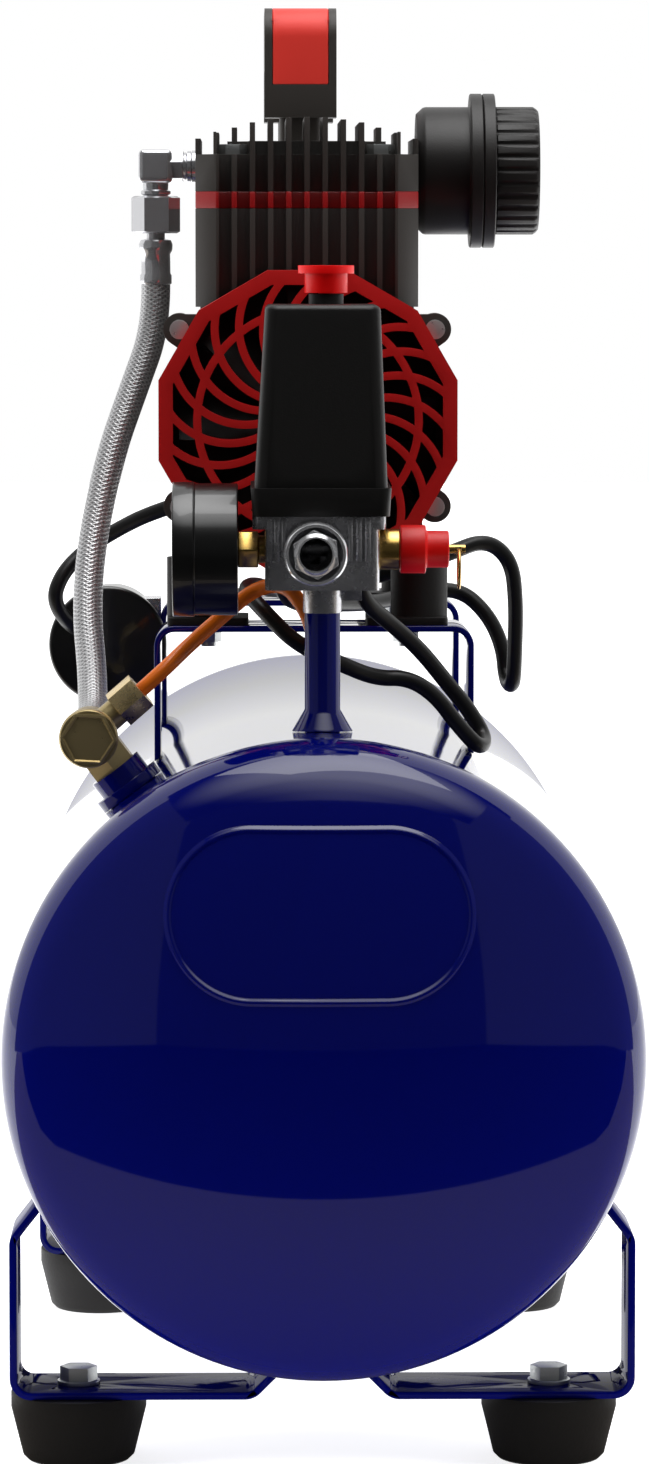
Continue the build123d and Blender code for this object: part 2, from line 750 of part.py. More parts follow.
guard_front = crankcase_front - guard_depth
guard_wall = 2.5
guard_rib_count = 24
guard_rib_width = 3.2
guard_face = 3.0
guard_ring_radius = 44.5
guard_hub_radius = 17.0
with BuildPart() as fan_guard:
    with BuildSketch(facing_front(crankcase_front)):
        with Locations((pump_x, pump_z)):
            RegularPolygon(guard_circumradius, 12, rotation=15)
            RegularPolygon(guard_circumradius - guard_wall, 12, rotation=15, mode=Mode.SUBTRACT)
    extrude(amount=guard_depth)
    with BuildSketch(facing_front(guard_front + guard_face)):
        with Locations((pump_x, pump_z)):
            RegularPolygon(guard_circumradius, 12, rotation=15)
            RegularPolygon(guard_circumradius - 6, 12, rotation=15, mode=Mode.SUBTRACT)
            Circle(guard_ring_radius + 1.6)
            Circle(guard_ring_radius - 1.6, mode=Mode.SUBTRACT)
            Circle(guard_hub_radius)
        for index in range(guard_rib_count):
            turn = radians(index * 360 / guard_rib_count)

            def spoke(radius, lag):
                angle = turn - radians(lag)
                return (pump_x + radius * cos(angle), pump_z + radius * sin(angle))

            with BuildLine():
                rib = ThreePointArc(spoke(guard_hub_radius - 2, 0), spoke(43, 5.5), spoke(58.5, 22))
            trace(rib, guard_rib_width)
    extrude(amount=guard_face)
    with BuildSketch(facing_front(crankcase_front + 1)):
        with Locations(*ear_places):
            Circle(4.5)
    extrude(amount=8, mode=Mode.SUBTRACT)
finish(fan_guard, "fan_guard")

# ---------------------------------------------------------------- intake filter
filter_start = pump_x + head_side
filter_radius = 26.3
filter_flange_radius = 31.8
filter_split = filter_start + 27.2
filter_end = filter_start + 50.5
filter_wall = 2.2


def filter_disc(start, end, radius, mode=Mode.ADD):
    """Disc about the filter's axis between two X positions."""
    with BuildSketch(Plane.YZ.offset(start)) as disc:
        with Locations((cylinder_y, side_port_z)):
            Circle(radius)
    extrude(disc.sketch, amount=end - start, mode=mode)


with BuildPart() as filter_body:
    filter_disc(filter_start, filter_split, filter_radius)
    chamfer(filter_body.faces().sort_by(Axis.X)[0].edges(), 2.4)
    filter_disc(filter_split - 5, filter_split, filter_flange_radius)
    filter_disc(filter_start + filter_wall, filter_split, filter_radius - filter_wall, Mode.SUBTRACT)
    filter_disc(filter_start - 8, filter_start, 4.5)
    filter_disc(filter_start - 8, filter_start + 5, 3, Mode.SUBTRACT)
finish(filter_body, "filter_body")

with BuildPart() as filter_cap:
    filter_disc(filter_split + loose_gap, filter_end, filter_radius)
    chamfer(filter_cap.faces().sort_by(Axis.X)[-1].edges(), 1.6)
    filter_disc(filter_split + loose_gap, filter_split + 5.2, filter_flange_radius)
    filter_disc(filter_split, filter_end - filter_wall, filter_radius - filter_wall, Mode.SUBTRACT)
    slot_centre = Plane(origin=(filter_end, cylinder_y, side_port_z), x_dir=(0, 1, 0), z_dir=(1, 0, 0))
    with BuildSketch(slot_centre):
        with PolarLocations(16, 8):
            SlotCenterToCenter(7, 3)
    extrude(amount=-4, mode=Mode.SUBTRACT)
finish(filter_cap, "filter_cap")

with BuildPart() as filter_element:
    filter_disc(filter_start + filter_wall, filter_end - filter_wall - 2, 21)
    filter_disc(filter_start + filter_wall, filter_end - filter_wall - 2, 10, Mode.SUBTRACT)
finish(filter_element, "filter_element")

# ---------------------------------------------------------------- discharge elbow and hose
elbow_x = pump_x - head_side - 16.8
elbow_half = 7.0
elbow_z = side_port_z + 1.8
nut_top = elbow_z - 12.2
nut_bottom = nut_top - 15.4
ferrule_top = nut_bottom - 2.2
ferrule_bottom = ferrule_top - 18.8
valve_reach = tank_radius + 27.5
valve_centre = Vector(0, boss_y, tank_z) + boss_direction * valve_reach
barrel_front = boss_y - 12.0
barrel_rear = boss_y + 12.0


def upright(x, y, bottom, top, radius, mode=Mode.ADD):
    """Vertical cylinder between two heights."""
    with BuildSketch(Plane.XY.offset(bottom)) as disc:
        with Locations((x, y)):
            Circle(radius)
    extrude(disc.sketch, amount=top - bottom, mode=mode)


with BuildPart() as discharge_elbow:
    with BuildSketch(Plane.XY.offset(elbow_z - elbow_half)) as elbow_plan:
        with Locations((elbow_x, cylinder_y)):
            RectangleRounded(2 * elbow_half, 2 * elbow_half, 3)
    extrude(amount=2 * elbow_half)
    upright(elbow_x, cylinder_y, nut_bottom + 4, elbow_z, 5.2)
    with BuildSketch(Plane.YZ.offset(elbow_x)):
        with Locations((cylinder_y, elbow_z)):
            RegularPolygon(hexagon_radius(12), 6)
    extrude(amount=pump_x - head_side - 1.5 - elbow_x)
    with BuildSketch(Plane.YZ.offset(pump_x - head_side - 3.2)):
        with Locations((cylinder_y, elbow_z)):
            Circle(7)
    extrude(amount=3.2)
    with BuildSketch(Plane.YZ.offset(elbow_x)):
        with Locations((cylinder_y, side_port_z)):
            Circle(4.5)
    extrude(amount=pump_x - head_side + 7 - elbow_x)
    upright(elbow_x, cylinder_y, nut_bottom, elbow_z, 3, Mode.SUBTRACT)
    with BuildSketch(Plane.YZ.offset(elbow_x - 2)):
        with Locations((cylinder_y, side_port_z)):
            Circle(3)
    extrude(amount=40, mode=Mode.SUBTRACT)
finish(discharge_elbow, "discharge_elbow")


def along_y(x, z, start, end, radius, mode=Mode.ADD):
    """Cylinder about a line along Y between two stations."""
    with BuildSketch(facing_front(end)) as disc:
        with Locations((x, z)):
            Circle(radius)
    extrude(disc.sketch, amount=end - start, mode=mode)


rear_ferrule_end = barrel_rear + 13.0
with BuildPart() as hose_fittings:
    with BuildSketch(Plane.XY.offset(nut_bottom)):
        with Locations((elbow_x, cylinder_y)):
            RegularPolygon(hexagon_radius(17.5), 6, rotation=18)
    extrude(amount=nut_top - nut_bottom)
    upright(elbow_x, cylinder_y, nut_bottom + 4, nut_top, 5.2, Mode.SUBTRACT)
    upright(elbow_x, cylinder_y, ferrule_top, nut_bottom, 3.8)
    upright(elbow_x, cylinder_y, ferrule_bottom, ferrule_top, 6.2)
    upright(elbow_x, cylinder_y, ferrule_top - 5, ferrule_top - 1, 7.0)
    upright(elbow_x, cylinder_y, ferrule_bottom, nut_bottom + 4, 2.5, Mode.SUBTRACT)
    along_y(valve_centre.X, valve_centre.Z, barrel_rear, rear_ferrule_end, 6.3)
    along_y(valve_centre.X, valve_centre.Z, barrel_rear, rear_ferrule_end, 2.5, Mode.SUBTRACT)
finish(hose_fittings, "hose_fittings")

# Steel-braided hose, from the union under the elbow to the rear of the check valve.
hose_points = [
    (elbow_x, cylinder_y, ferrule_bottom),
    (elbow_x, cylinder_y, ferrule_bottom - 18),
    (elbow_x - 9.5, -43, ferrule_bottom - 44),
    (-86, -51, 397),
    (-93.5, -63, 362),
    (-95.5, -77, 334),
    (-92.5, -96, 309),
    (valve_centre.X, -120, valve_centre.Z),
    (valve_centre.X, rear_ferrule_end, valve_centre.Z),
]

# ---------------------------------------------------------------- check valve and unloader line
check_cap_radius = 12.2
port_tilt = radians(41)
port_direction = Vector(cos(port_tilt), 0, sin(port_tilt))
unloader_x = -1.4
unloader_y = -142.0
unloader_floor = switch_floor - 18.0


def on_port_axis(distance):
    """Plane across the check valve's side port."""
    return Plane(origin=valve_centre + port_direction * distance, x_dir=(0, 1, 0), z_dir=port_direction)


with BuildPart() as check_valve_body:
    along_y(valve_centre.X, valve_centre.Z, barrel_front, barrel_rear, 10.5)
    with BuildSketch(on_boss_axis(tank_radius + boss_stand)):
        RegularPolygon(hexagon_radius(17), 6)
    extrude(amount=valve_reach - tank_radius - boss_stand)
    with BuildSketch(on_boss_axis(tank_radius + boss_stand - 9)):
        Circle(boss_bore)
    extrude(amount=10)
    with BuildSketch(on_port_axis(0)):
        Circle(5.6)
    extrude(amount=15)
    along_y(valve_centre.X, valve_centre.Z, barrel_front + 4, barrel_rear, 5.5, Mode.SUBTRACT)
    with BuildSketch(on_boss_axis(tank_radius)):
        Circle(5)
    extrude(amount=valve_reach - tank_radius, mode=Mode.SUBTRACT)
    with BuildSketch(on_port_axis(0)):
        Circle(2)
    extrude(amount=16, mode=Mode.SUBTRACT)
finish(check_valve_body, "check_valve_body")

with BuildPart() as check_valve_cap:
    along_y(valve_centre.X, valve_centre.Z, barrel_front - 6, barrel_front, check_cap_radius)
    with BuildSketch(facing_front(barrel_front - 6)):
        with Locations((valve_centre.X, valve_centre.Z)):
            RegularPolygon(10.7, 6, rotation=12)
    extrude(amount=1.4)
finish(check_valve_cap, "check_valve_cap")

with BuildPart() as unloader_fittings:
    with BuildSketch(on_port_axis(15)):
        RegularPolygon(hexagon_radius(14), 6, rotation=12)
    extrude(amount=12)
    with BuildSketch(on_port_axis(15)):
        Circle(unloader_diameter / 2)
    extrude(amount=12, mode=Mode.SUBTRACT)
    upright(unloader_x, unloader_y, unloader_floor, switch_floor, 5)
    with BuildSketch(Plane.XY.offset(unloader_floor + 2)):
        with Locations((unloader_x, unloader_y)):
            RegularPolygon(hexagon_radius(11), 6)
    extrude(amount=8)
    upright(unloader_x, unloader_y, unloader_floor, unloader_floor + 8, unloader_diameter / 2, Mode.SUBTRACT)
finish(unloader_fittings, "unloader_fittings")

tube_start = valve_centre + port_direction * 17
tube_turn = valve_centre + port_direction * 37
tube_points = [
    (tube_start.X, tube_start.Y, tube_start.Z),
    (tube_turn.X, tube_turn.Y, tube_turn.Z),
    (-53, -158, 325),
    (-38, -150, 337.5),
    (-26, -148, 347.5),
    (-14, -157, 349.5),
    (-6, -164, 339),
    (-3, -158, 328.5),
    (unloader_x, -147, 328),
    (unloader_x, unloader_y, 339),
    (unloader_x, unloader_y, unloader_floor + 8),
]

# ---------------------------------------------------------------- manifold and outlet coupler
manifold_left = -22.5
manifold_right = 22.0
manifold_front = post_y - 16.0
manifold_rear = post_y + 16.0
coupler_x = -3.0
with BuildPart() as manifold:
    with BuildSketch(Plane.XY.offset(manifold_bottom)):
        with Locations(((manifold_left + manifold_right) / 2, post_y)):
            RectangleRounded(manifold_right - manifold_left, manifold_rear - manifold_front, 3)
    extrude(amount=switch_floor - manifold_bottom)
    with BuildSketch(Plane.XY.offset(switch_floor - 5.5)):
        with Locations((-1.5, post_y)):
            RectangleRounded(52, 32, 3)
    extrude(amount=5.5)
    upright(0, post_y, post_top, manifold_bottom, 7.6)
    for rib_x in (-20.8, -17.9, -15, 10.5, 14, 17.5):
        with BuildSketch(Plane.XY.offset(port_z - 4)):
            with Locations((rib_x, manifold_front - 0.5)):
                Rectangle(2.2, 2)
        extrude(amount=switch_floor - port_z + 3)
    with BuildSketch(Plane.XY.offset(manifold_bottom - 5)):
        with Locations((11.5, post_y + 9)):
            Rectangle(8, 12)
    extrude(amount=7)
    upright(0, post_y, post_top, port_z, 4.5, Mode.SUBTRACT)
    with BuildSketch(Plane.YZ.offset(manifold_left - 1)):
        with Locations((post_y, port_z)):
            Circle(5.5)
    extrude(amount=manifold_right - manifold_left + 2, mode=Mode.SUBTRACT)
    along_y(coupler_x, port_z, manifold_front - 1, post_y, 5.5, Mode.SUBTRACT)
    upright(0, post_y, port_z, switch_floor, 3, Mode.SUBTRACT)
finish(manifold, "manifold")

coupler_barrel = 8.5
coupler_front = manifold_front - 26.0
sleeve_travel = 4.0
with BuildPart() as coupler_body:
    along_y(coupler_x, port_z, coupler_front, manifold_front, coupler_barrel)
    with BuildSketch(facing_front(manifold_front)):
        with Locations((coupler_x, port_z)):
            Circle(10.5)
    extrude(amount=1)
    with BuildSketch(facing_front(coupler_front + 7)):
        with Locations((coupler_x, port_z)):
            RegularPolygon(9.8, 6, rotation=10)
    extrude(amount=6)
    along_y(coupler_x, port_z, coupler_front, manifold_front, coupler_bore_radius, Mode.SUBTRACT)
finish(coupler_body, "coupler_body")

sleeve_front = coupler_front + 2.0
sleeve_rear = manifold_front - sleeve_travel - 2.0
with BuildPart() as coupler_sleeve:
    with BuildSketch(facing_front(sleeve_rear)):
        with Locations((coupler_x, port_z)):
            Circle(12.4)
            Circle(coupler_barrel + running_gap, mode=Mode.SUBTRACT)
            with PolarLocations(12.4, 36):
                Circle(0.35, mode=Mode.SUBTRACT)
    extrude(amount=sleeve_rear - sleeve_front)
    along_y(coupler_x, port_z, sleeve_front, coupler_front + 8, 10.4, Mode.SUBTRACT)
finish(coupler_sleeve, "coupler_sleeve")

# ---------------------------------------------------------------- pressure gauge
gauge_front = -58.7
gauge_back = -33.1
dial_x = gauge_front + 7.0


def gauge_disc(start, end, radius, mode=Mode.ADD):
    """Disc about the line of the side ports between two X positions."""
    with BuildSketch(Plane.YZ.offset(start)) as disc:
        with Locations((post_y, port_z)):
            Circle(radius)
    extrude(disc.sketch, amount=end - start, mode=mode)


with BuildPart() as gauge_case:
    gauge_disc(gauge_front, gauge_back, gauge_radius - 0.6)
    gauge_disc(gauge_front, gauge_front + 8.5, gauge_radius)
    gauge_disc(gauge_front, gauge_back - 2, gauge_radius - 3, Mode.SUBTRACT)
    gauge_disc(gauge_back - 3, gauge_back, 5, Mode.SUBTRACT)
finish(gauge_case, "gauge_case")

with BuildPart() as gauge_dial:
    gauge_disc(dial_x, dial_x + 0.8, gauge_radius - 3)
    gauge_disc(dial_x, dial_x + 0.8, 1.0, Mode.SUBTRACT)
finish(gauge_dial, "gauge_dial")

with BuildPart() as gauge_lens:
    gauge_disc(gauge_front + 0.8, gauge_front + 2.4, gauge_radius - 3)
finish(gauge_lens, "gauge_lens")

# The pointer starts at its stop, low on the dial's left as read.
pointer_turn = radians(225)
pointer_length = 17.0
pointer_plane = Plane(origin=(dial_x - 2.2, post_y, port_z), x_dir=(0, -1, 0), z_dir=(-1, 0, 0))
with BuildPart() as gauge_needle:
    gauge_disc(dial_x - 3, dial_x - 0.6, 2.4)
    gauge_disc(dial_x - 1, dial_x + 4, 1.0 - running_gap)
    with BuildSketch(pointer_plane):
        with Locations(Location((0, 0), degrees(pointer_turn))):
            with Locations((5, 0)):
                Rectangle(2 * pointer_length - 10, 1.4)
    extrude(amount=-0.6)
finish(gauge_needle, "gauge_needle")

with BuildPart() as gauge_stem:
    with BuildSketch(Plane.YZ.offset(gauge_back)):
        with Locations((post_y, port_z)):
            RegularPolygon(hexagon_radius(14), 6)
    extrude(amount=8)
    gauge_disc(gauge_back - 2, manifold_left, 5)
    gauge_disc(manifold_left - 3, manifold_left + 8, 5.5)
    gauge_disc(gauge_back - 2, manifold_left + 8, 2, Mode.SUBTRACT)
finish(gauge_stem, "gauge_stem")

# ---------------------------------------------------------------- safety valve
valve_collar = 30.3
valve_shoulder = 40.5
valve_end = 49.5
pin_end = 56.0
pull_hole_x = 53.5
pull_hole_radius = 1.0
pull_ring_radius = 7.6
pull_wire_radius = 0.6
pin_shaft_radius = 1.8
with BuildPart() as safety_valve_body:
    gauge_disc(manifold_right - 8, manifold_right + 2, 5.5)
    gauge_disc(manifold_right, valve_collar, 8)
    gauge_disc(valve_collar, valve_shoulder, 6)
    gauge_disc(valve_shoulder, valve_end - 2.5, 5)
    gauge_disc(manifold_right - 8, valve_collar, 2.5, Mode.SUBTRACT)
    gauge_disc(valve_collar, valve_shoulder + 2, 4, Mode.SUBTRACT)
    gauge_disc(valve_shoulder, valve_end, pin_shaft_radius + running_gap, Mode.SUBTRACT)
finish(safety_valve_body, "safety_valve_body")

with BuildPart() as safety_valve_cap:
    gauge_disc(valve_collar, valve_shoulder, 9.5)
    gauge_disc(valve_shoulder, valve_end, 7.25)
    gauge_disc(valve_collar, valve_shoulder, 6, Mode.SUBTRACT)
    gauge_disc(valve_shoulder, valve_end - 2.5, 5, Mode.SUBTRACT)
    gauge_disc(valve_shoulder, valve_end, pin_shaft_radius + loose_gap, Mode.SUBTRACT)
finish(safety_valve_cap, "safety_valve_cap")

with BuildPart() as pull_pin:
    gauge_disc(valve_collar + 3, pin_end, pin_shaft_radius)
    gauge_disc(valve_collar + 3, valve_collar + 5, 3.4)
    along_y(pull_hole_x, port_z, post_y - 4, post_y + 4, pull_hole_radius, Mode.SUBTRACT)
finish(pull_pin, "pull_pin")

with BuildPart() as pull_ring:
    with BuildSketch(facing_front(post_y)):
        with Locations((pull_hole_x, port_z)):
            Circle(pull_wire_radius)
    revolve(axis=Axis((pull_hole_x, post_y, port_z - pull_ring_radius), (1, 0, 0)))
finish(pull_ring, "pull_ring")

# ---------------------------------------------------------------- pressure switch
switch_wall = 2.4
cover_top_width = 44.6
cover_top_depth = 58.0
cover_edge_radius = 2.3
knob_x = 1.8
knob_y = -150.0
knob_travel = 4.0
collar_radius = 7.0
with BuildPart() as switch_base:
    with BuildSketch(Plane.XY.offset(switch_floor)):
        with Locations((switch_x, switch_y)):
            RectangleRounded(switch_width - 1.4, switch_depth - 1.4, 4)
    with BuildSketch(Plane.XY.offset(cover_bottom)):
        with Locations((switch_x, switch_y)):
            RectangleRounded(switch_width, switch_depth, 4)
    loft()
    with BuildSketch(Plane.XY.offset(switch_floor + switch_wall)):
        with Locations((switch_x, switch_y)):
            RectangleRounded(switch_width - 8, switch_depth - 8, 3)
    extrude(amount=20, mode=Mode.SUBTRACT)
    with BuildSketch(Plane.XY.offset(switch_floor + switch_wall)):
        with Locations((switch_x, switch_y)):
            Rectangle(30, 34)
    extrude(amount=44)
    upright(0, post_y, switch_floor - 1, switch_floor + 3, 3, Mode.SUBTRACT)
finish(switch_base, "switch_base")

with BuildPart() as switch_cover:
    for inset, mode in ((0, Mode.ADD), (switch_wall, Mode.SUBTRACT)):
        low = BuildSketch(Plane.XY.offset(cover_bottom))
        with low:
            with Locations((switch_x, switch_y)):
                RectangleRounded(switch_width - 3 - 2 * inset, switch_depth - 3 - 2 * inset, 5 - inset)
        high = BuildSketch(Plane.XY.offset(cover_top - inset))
        with high:
            with Locations((switch_x + 0.8, switch_y)):
                RectangleRounded(cover_top_width - 2 * inset, cover_top_depth - 2 * inset, 5 - inset)
        loft(sections=[low.sketch, high.sketch], mode=mode)
        if mode == Mode.ADD:
            fillet(switch_cover.faces().sort_by(Axis.Z)[-1].edges(), cover_edge_radius)
    upright(knob_x, knob_y, cover_top - 1, cover_top + 4, collar_radius)
    upright(knob_x, knob_y, cover_top - 4, cover_top + 6, 3.2, Mode.SUBTRACT)
finish(switch_cover, "switch_cover")

with BuildPart() as switch_knob:
    skirt_bottom = cover_top + knob_travel + 0.4
    upright(knob_x, knob_y, skirt_bottom, skirt_bottom + 7.6, 8.5)
    upright(knob_x, knob_y, skirt_bottom + 7.6, skirt_bottom + 10.8, 11.1)
    upright(knob_x, knob_y, skirt_bottom, skirt_bottom + 5, collar_radius + loose_gap, Mode.SUBTRACT)
    upright(knob_x, knob_y, cover_top - 12, skirt_bottom + 8, 3.2 - running_gap)
finish(switch_knob, "switch_knob")

# Grommets where the wiring enters the motor: the mouth, and the next point of the cord.
motor_entries = [
    ((-12.0, 14.0, 353.0), (-12.0, -0.4, 333.8)),
    ((8.0, 14.0, 353.0), (8.0, -0.4, 333.8)),
    ((-53.0, 14.0, 375.0), (-70.1, 17.0, 369.8)),
]
motor_bar = Cylinder(motor_radius + weld_gap, 400, rotation=(90, 0, 0), mode=Mode.PRIVATE)
gland_y = unloader_y - 4.0
gland_right = 14.0
gland_left = -16.5
gland_drop = 10.0
with BuildPart() as cable_glands:
    for gland_x in (gland_left, gland_right):
        with BuildSketch(Plane.XY.offset(switch_floor - gland_drop + 3)):
            with Locations((gland_x, gland_y)):
                RegularPolygon(hexagon_radius(12), 6)
        extrude(amount=gland_drop - 3)
        upright(gland_x, gland_y, switch_floor - gland_drop, switch_floor, 5.6)
        upright(gland_x, gland_y, switch_floor - gland_drop, switch_floor - 4, cord_diameter / 2, Mode.SUBTRACT)
    for mouth, approach in motor_entries:
        lead = Vector(*approach) - Vector(*mouth)
        with BuildSketch(Plane(origin=mouth, z_dir=lead)):
            Circle(5.2)
        extrude(amount=-16)
        with BuildSketch(Plane(origin=mouth, z_dir=lead)):
            Circle(6.4)
        extrude(amount=-4)
    add(motor_bar.moved(Location((pump_x, 0, pump_z))), mode=Mode.SUBTRACT)
    rear_face = switch_y + switch_depth / 2
    with BuildSketch(facing_front(rear_face + 9)):
        with Locations((switch_x, switch_floor + 6.5)):
            Circle(5)
            Circle(2.8, mode=Mode.SUBTRACT)
    extrude(amount=9)
finish(cable_glands, "cable_glands")

# ---------------------------------------------------------------- capacitor
capacitor_x = -90.0
capacitor_z = tank_top + 16.9
capacitor_front = 50.0
capacitor_cap_radius = 25.5
capacitor_radius = 21.2
capacitor_length = 92.0
clamp_y = rear_bracket_y
with BuildPart() as capacitor:
    along_y(capacitor_x, capacitor_z, capacitor_front, capacitor_front + 8, capacitor_cap_radius)
    fillet(capacitor.faces().sort_by(Axis.Y)[0].edges(), 1.8)
    along_y(capacitor_x, capacitor_z, capacitor_front + 8, capacitor_front + capacitor_length, capacitor_radius)
finish(capacitor, "capacitor")

with BuildPart() as capacitor_clamp:
    along_y(capacitor_x, capacitor_z, clamp_y - 8, clamp_y + 8, capacitor_radius + 1.2)
    bracket_face = bracket_x - bracket_half_width
    with BuildSketch(Plane.XZ.offset(-clamp_y + 8 - 16)):
        with Locations(((capacitor_x + bracket_face) / 2, capacitor_z + 14)):
            Rectangle(bracket_face - capacitor_x, 10)
    extrude(amount=16)
    along_y(capacitor_x, capacitor_z, clamp_y - 9, clamp_y + 9, capacitor_radius, Mode.SUBTRACT)
finish(capacitor_clamp, "capacitor_clamp")

# ---------------------------------------------------------------- handle
handle_x = -6.7
handle_width = 30.5
handle_front = 18.0
handle_rear = 140.0
handle_top = head_deck + 63.5
handle_leg_bottom = handle_top - 46.5
handle_leg = 22.0
grip_height = 24.0
handle_corner = 13.0
neck_width = 18.0
neck_depth = 14.0
insert_width = 24.0
insert_thickness = 2.5
insert_bottom = handle_top - 32.5
neck_stations = (handle_front + 13, handle_rear - 15)
with BuildPart() as handle_body:
    with BuildSketch(Plane.YZ.offset(handle_x - handle_width / 2)) as handle_side:
        with BuildLine():
            FilletPolyline(
                (handle_front, handle_leg_bottom),
                (handle_front, handle_top),
                (handle_rear, handle_top),
                (handle_rear, handle_leg_bottom),
                radius=handle_corner,
            )
            FilletPolyline(
                (handle_rear, handle_leg_bottom),
                (handle_rear - handle_leg, handle_leg_bottom),
                (handle_rear - handle_leg, handle_top - grip_height),
                (handle_front + handle_leg, handle_top - grip_height),
                (handle_front + handle_leg, handle_leg_bottom),
                (handle_front, handle_leg_bottom),
                radius=[1, 8, 8, 1],
            )
        make_face()
    extrude(amount=handle_width)
    with BuildSketch(Plane.XY.offset(pump_z + 20)):
        with Locations(*[(handle_x, station) for station in neck_stations]):
            RectangleRounded(neck_width, neck_depth, 3)
    extrude(amount=handle_leg_bottom + 2 - pump_z - 20)
    motor_bar = Cylinder(motor_radius + weld_gap, 400, rotation=(90, 0, 0), mode=Mode.PRIVATE)
    add(motor_bar.moved(Location((pump_x, 0, pump_z))), mode=Mode.SUBTRACT)
    with BuildSketch(Plane.YZ.offset(handle_x - insert_width / 2)):
        with BuildLine():
            FilletPolyline(
                (handle_front + insert_thickness, insert_bottom),
                (handle_front + insert_thickness, handle_top - insert_thickness),
                (handle_rear - 20, handle_top - insert_thickness),
                radius=handle_corner - insert_thickness,
            )
            Polyline(
                (handle_rear - 20, handle_top - insert_thickness),
                (handle_rear - 20, handle_top + 5),
                (handle_front - 5, handle_top + 5),
                (handle_front - 5, insert_bottom),
                (handle_front + insert_thickness, insert_bottom),
            )
        make_face()
    extrude(amount=insert_width, mode=Mode.SUBTRACT)
finish(handle_body, "handle_body")

with BuildPart() as handle_insert:
    with BuildSketch(Plane.YZ.offset(handle_x - insert_width / 2)):
        with BuildLine():
            FilletPolyline(
                (handle_front, insert_bottom),
                (handle_front, handle_top),
                (handle_rear - 20, handle_top),
                radius=handle_corner,
            )
            Line((handle_rear - 20, handle_top), (handle_rear - 20, handle_top - insert_thickness))
            FilletPolyline(
                (handle_rear - 20, handle_top - insert_thickness),
                (handle_front + insert_thickness, handle_top - insert_thickness),
                (handle_front + insert_thickness, insert_bottom),
                radius=handle_corner - insert_thickness,
            )
            Line((handle_front + insert_thickness, insert_bottom), (handle_front, insert_bottom))
        make_face()
    extrude(amount=insert_width)
finish(handle_insert, "handle_insert")

# ---------------------------------------------------------------- hose, tube and wiring
gland_mouth = switch_floor - 4.0


switch_to_motor_points = [
    (gland_right, gland_y, gland_mouth),
    (gland_right, gland_y, 355),
    (16.5, -142, 342),
    (28, -130, 332),
    (40, -122, 321),
    (51, -115, 307),
    (60, -112, 296),
    (67, -112, 284),
    (64, -126.5, 281),
    (55, -126.5, 291),
    (46, -126.5, 303),
    (35, -128, 310),
    (22, -132, 310),
    (7, -143, 317),
    (-10, -149, 325),
    (-22, -145, 337),
    (-31, -132, 346),
    (-27, -114, 347),
    (-20, -88, 343),
    (-16, -55, 341),
    (-13, -22, 337),
    motor_entries[0][1],
    motor_entries[0][0],
]
motor_loop_points = [
    (gland_left, gland_y, gland_mouth),
    (gland_left, gland_y, 356),
    (-15, -131, 343),
    (-8, -106, 338),
    (4, -72, 336),
    (22, -38, 334),
    (42, -12, 337),
    (60, -5, 338.5),
    (72, -8, 328),
    (78.5, -11, 314),
    (79.5, -13, 300),
    (82, -28.5, 298),
    (82.5, -31, 313),
    (83, -31, 334),
    (81, -32, 352),
    (70, -35, 361),
    (54, -42, 355),
    (36, -45, 349),
    (18, -37, 344),
    (9, -18, 336),
    motor_entries[1][1],
    motor_entries[1][0],
]
capacitor_cable_points = [
    (capacitor_x - 14, capacitor_front, capacitor_z + 8),
    (capacitor_x - 14, capacitor_front - 17, capacitor_z + 8),
    (-113, 22, 331),
    (-109, 24, 343),
    (-99, 30, 353),
    (-86, 25, 361.5),
    motor_entries[2][1],
    motor_entries[2][0],
]

for name, points, diameter in (
    ("discharge_hose", hose_points, hose_diameter),
    ("unloader_tube", tube_points, unloader_diameter),
    ("switch_cable", switch_to_motor_points, cord_diameter),
    ("motor_cable", motor_loop_points, cord_diameter),
    ("capacitor_cable", capacitor_cable_points, cord_diameter),
):
    radii = bend_radii(points)
    with BuildPart() as cord:
        with BuildLine() as route:
            FilletPolyline(*points, radius=radii)
        with BuildSketch(Plane(origin=route.line @ 0, z_dir=route.line % 0)):
            Circle(diameter / 2)
        sweep(path=route.line)
    report_cord(name, cord, route.wire().length, diameter, radii)
    finish(cord, name)

# ---------------------------------------------------------------- output
os.makedirs("parts", exist_ok=True)
for part in parts:
    export_step(part, f"parts/{part.label}.step")
print(len(parts), "nodes")
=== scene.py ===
import math

import bmesh
import bpy
from mathutils import Matrix, Vector


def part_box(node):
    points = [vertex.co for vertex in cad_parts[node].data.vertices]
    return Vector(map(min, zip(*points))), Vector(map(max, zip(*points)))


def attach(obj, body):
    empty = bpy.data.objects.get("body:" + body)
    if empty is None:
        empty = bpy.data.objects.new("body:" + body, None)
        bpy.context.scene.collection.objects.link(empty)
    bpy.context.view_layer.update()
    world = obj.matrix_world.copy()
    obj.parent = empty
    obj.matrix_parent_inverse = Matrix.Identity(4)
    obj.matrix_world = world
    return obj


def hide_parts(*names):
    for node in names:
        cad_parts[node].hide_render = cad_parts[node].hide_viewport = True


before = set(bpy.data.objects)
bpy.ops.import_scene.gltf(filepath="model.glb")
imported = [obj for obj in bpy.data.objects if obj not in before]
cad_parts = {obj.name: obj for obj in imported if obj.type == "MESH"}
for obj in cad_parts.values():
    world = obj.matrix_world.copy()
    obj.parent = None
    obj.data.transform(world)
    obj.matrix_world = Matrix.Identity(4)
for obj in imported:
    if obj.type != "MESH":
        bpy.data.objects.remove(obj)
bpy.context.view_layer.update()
MM = 0.001

